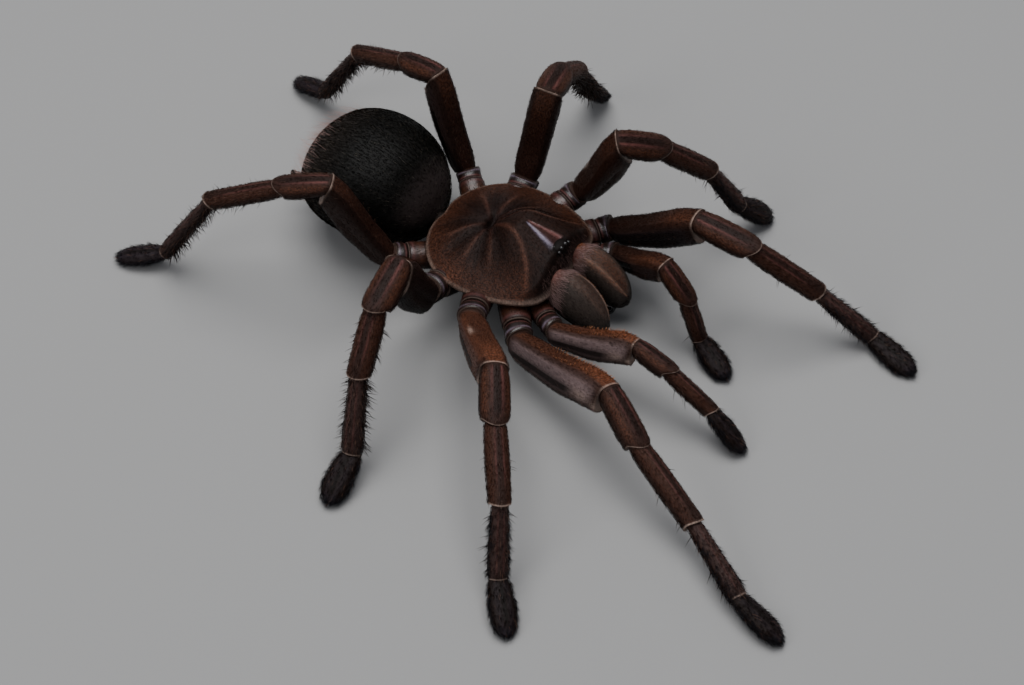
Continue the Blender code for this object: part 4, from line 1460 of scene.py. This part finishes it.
def grow(skin, kind, density, length, finish, seed):
    """Grows one kind of hair on a skin and returns it as a plain mesh. Lengths are millimetres."""
    tuft, where, lift, unruly = HAIRS[kind]
    given = {
        "Tuft": TUFTS[tuft], "Where": where, "Density": density / MM**2, "Length": length * MM,
        "Lift": lift, "Unruly": unruly, "Seed": seed, "Finish": finish,
    }
    hair = bpy.data.objects.new(kind, skin.data.copy())
    bpy.context.collection.objects.link(hair)
    step = hair.modifiers.new("coat", "NODES")
    step.node_group = coat_tree
    for key, value in given.items():
        step[coat_sockets[key]] = value
    bpy.context.view_layer.update()
    grown = bpy.data.meshes.new_from_object(hair.evaluated_get(bpy.context.evaluated_depsgraph_get()))
    hair.modifiers.remove(step)
    hair.data = grown
    points = np.zeros(3 * len(grown.vertices), dtype=np.float32)
    grown.vertices.foreach_get("co", points)
    points[2::3] = np.maximum(points[2::3], 0.0)
    grown.vertices.foreach_set("co", points)
    return hair


def coat(name, skin, slot, growths):
    """Grows each (kind, tufts per square millimetre, length) and joins them into one piece."""
    parts = []
    for seed, (kind, density, length) in enumerate(growths):
        finish = velvets["coat"][slot] if kind in ("velvet", "plush") else long_hairs[kind]
        parts.append(grow(skin, kind, density, length, finish, seed + len(coats)))
    piece = parts[0]
    if len(parts) > 1:
        with bpy.context.temp_override(active_object=piece, selected_editable_objects=parts):
            bpy.ops.object.join()
    piece.name = piece.data.name = name
    coats[name] = sum(len(face.vertices) - 2 for face in piece.data.polygons)
    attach(piece, "root")


BALD_FROM = 0.5


def dress(skin, slot, nodes):
    """A finished skin: its material, its slot, and the plain solids that it stands for."""
    skin.data.materials.append(velvets["skin"][slot])
    skin.data.materials.append(velvets["bald"][slot])
    shine = np.zeros(len(skin.data.vertices), dtype=np.float32)
    skin.data.attributes["shine"].data.foreach_get("value", shine)
    for face in skin.data.polygons:
        face.material_index = int(shine[list(face.vertices)].mean() > BALD_FROM)
    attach(skin, "root")
    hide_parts(*nodes)


print("kinds of hair:", ", ".join(HAIRS))

# %% [markdown]
# ## Growing it all
#
# The face and the back plate get the shortest, densest velvet, the legs a slightly longer one,
# and the feet a brush that flares out at the sides. Long bristles stand out of the velvet
# everywhere, thickest on the hind legs, where dark spines join them underneath.

# %% Limbs
# Each growth: the kind of hair, tufts in a square millimetre, and their length.
LIMB_HAIR = (("velvet", 3.4, 0.95),)
LONG_HAIR = (("bristle", 0.60, 2.2), ("spine", 0.9, 3.4), ("comb", 5.0, 1.3), ("fringe", 3.0, 1.0))
BRUSH_HAIR = (("brush", 4.0, 1.75),)

for limb in limbs:
    dress(limb.skin, "leg_velvet", [f"{limb.name}_{kind}" for kind in limb.segments[2:]])
    coat(limb.name + "_velvet", limb.skin, "leg_velvet", LIMB_HAIR)
    coat(limb.name + "_bristles", limb.skin, "leg_velvet", LONG_HAIR)
    coat(limb.name + "_brush", limb.skin, "foot_pad", BRUSH_HAIR)
print("faces on the limbs' coats:", sum(coats.values()))

# %% Body
CARAPACE_HAIR = (("velvet", 7.3, 0.57), ("fringe", 12.0, 0.85), ("brow", 8.0, 1.8), ("dust", 0.7, 1.0))
ABDOMEN_HAIR = (("plush", 3.2, 1.15), ("dust", 0.6, 1.8), ("blush", 1.1, 6.5))
TRUNK_HAIR = (("velvet", 2.5, 1.0), ("bristle", 0.5, 1.8))
JAW_HAIR = (("velvet", 6.0, 0.65), ("dust", 4.5, 1.0), ("comb", 5.0, 0.6), ("beard", 14.0, 3.0))
SPINNERET_HAIR = (("velvet", 3.5, 0.8),)
body_pieces = [
    (carapace_skin, "carapace_velvet", "carapace", CARAPACE_HAIR),
    (abdomen_skin, "abdomen_velvet", "abdomen", ABDOMEN_HAIR),
    (trunk_skin, "underside_velvet", "sternum_and_coxae", TRUNK_HAIR),
]
for side, jaw in zip(SIDES, jaw_skins):
    body_pieces.append((jaw, "jaw_velvet", side + "_chelicera", JAW_HAIR))
for side, spinneret in zip(SIDES, spinneret_skins):
    body_pieces.append((spinneret, "underside_velvet", side + "_spinneret", SPINNERET_HAIR))
for skin, slot, node, growths in body_pieces:
    dress(skin, slot, [node])
    coat(skin.name.replace("_skin", "_coat"), skin, slot, growths)
for tuft in TUFTS.values():
    bpy.data.objects.remove(tuft)
print("faces on all the coats:", sum(coats.values()), "most on one:", max(coats.values()))


# %% Eyes, fangs and claws
def glossy(name, points, faces, material):
    piece = new_piece(name, points, faces)
    piece.data.materials.append(material)
    return piece


glossy_pieces = [
    (glossy("eye_tubercle_skin", *eye_mound, mound_finish), ["eye_tubercle"]),
    (glossy("eyes", *eye_balls, eye_gloss), []),
    (glossy("claws", *claw_parts, horn), []),
]
for side, fang in zip(SIDES, fangs):
    fang.data.materials.append(horn)
    glossy_pieces.append((fang, [side + "_fang"]))
for piece, nodes in glossy_pieces:
    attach(piece, "root")
    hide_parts(*nodes)
print("glossy pieces:", [piece.name for piece, nodes in glossy_pieces])

# %% [markdown]
# ## Floor, light and camera
#
# A plain pale floor and a wide soft lamp high up act as an overcast day would: there is one
# gentle highlight along each tube, and the shadow stays close under the body. The camera
# looks down from the spider's right front.

# %% Stage
CAMERA_TURN, CAMERA_LIFT, CAMERA_DISTANCE = -57.7, 50.1, 0.499
LENS, SENSOR = 75.6, 36.0
LOOK_AT = body_point(11.7, -14.4, 0.0)
FLOOR_HALF, FLOOR_COLOUR = 3000.0, (0.31, 0.307, 0.303)
SKY_COLOUR, SKY_STRENGTH = (0.86, 0.90, 1.0, 1.0), 0.30
# Each lamp: its place and its width in metres, and its power.
LAMPS = {"sky_lamp": ((0.10, 0.10, 1.0), 0.8, 11.0), "side_lamp": ((-0.9, 0.3, 0.7), 0.5, 3.0)}


def pointed(thing, name, place, target):
    """Adds a camera or a lamp at place, looking at target."""
    holder = bpy.data.objects.new(name, thing)
    holder.location = place
    holder.rotation_euler = (Vector(place) - Vector(target)).to_track_quat("Z", "Y").to_euler()
    bpy.context.collection.objects.link(holder)
    return holder


def set_floor():
    half = FLOOR_HALF * MM
    mesh = bpy.data.meshes.new("floor")
    mesh.from_pydata(
        [(-half, -half, 0), (half, -half, 0), (half, half, 0), (-half, half, 0)], [], [(0, 1, 2, 3)]
    )
    mesh.materials.append(plain("floor_finish", FLOOR_COLOUR, 0.85, 0.2))
    floor = bpy.data.objects.new("floor", mesh)
    bpy.context.collection.objects.link(floor)


def set_lights(target):
    world = bpy.data.worlds.new("sky")
    bpy.context.scene.world = world
    world.use_nodes = True
    background = world.node_tree.nodes["Background"]
    background.inputs["Color"].default_value = SKY_COLOUR
    background.inputs["Strength"].default_value = SKY_STRENGTH
    for name, (place, width, power) in LAMPS.items():
        lamp = bpy.data.lights.new(name, "AREA")
        lamp.size, lamp.energy = width, power
        pointed(lamp, name, place, target)


def set_camera(target):
    turn, lift = math.radians(CAMERA_TURN), math.radians(CAMERA_LIFT)
    back = Vector((math.sin(turn) * math.cos(lift), -math.cos(turn) * math.cos(lift), math.sin(lift)))
    camera = bpy.data.cameras.new("camera")
    camera.lens, camera.sensor_width, camera.clip_start = LENS, SENSOR, 0.01
    bpy.context.scene.camera = pointed(camera, "camera", target + back * CAMERA_DISTANCE, target)


target = Vector(to_metres(LOOK_AT))
set_floor()
set_lights(target)
set_camera(target)
print("camera aimed at, metres:", [round(value, 4) for value in target])
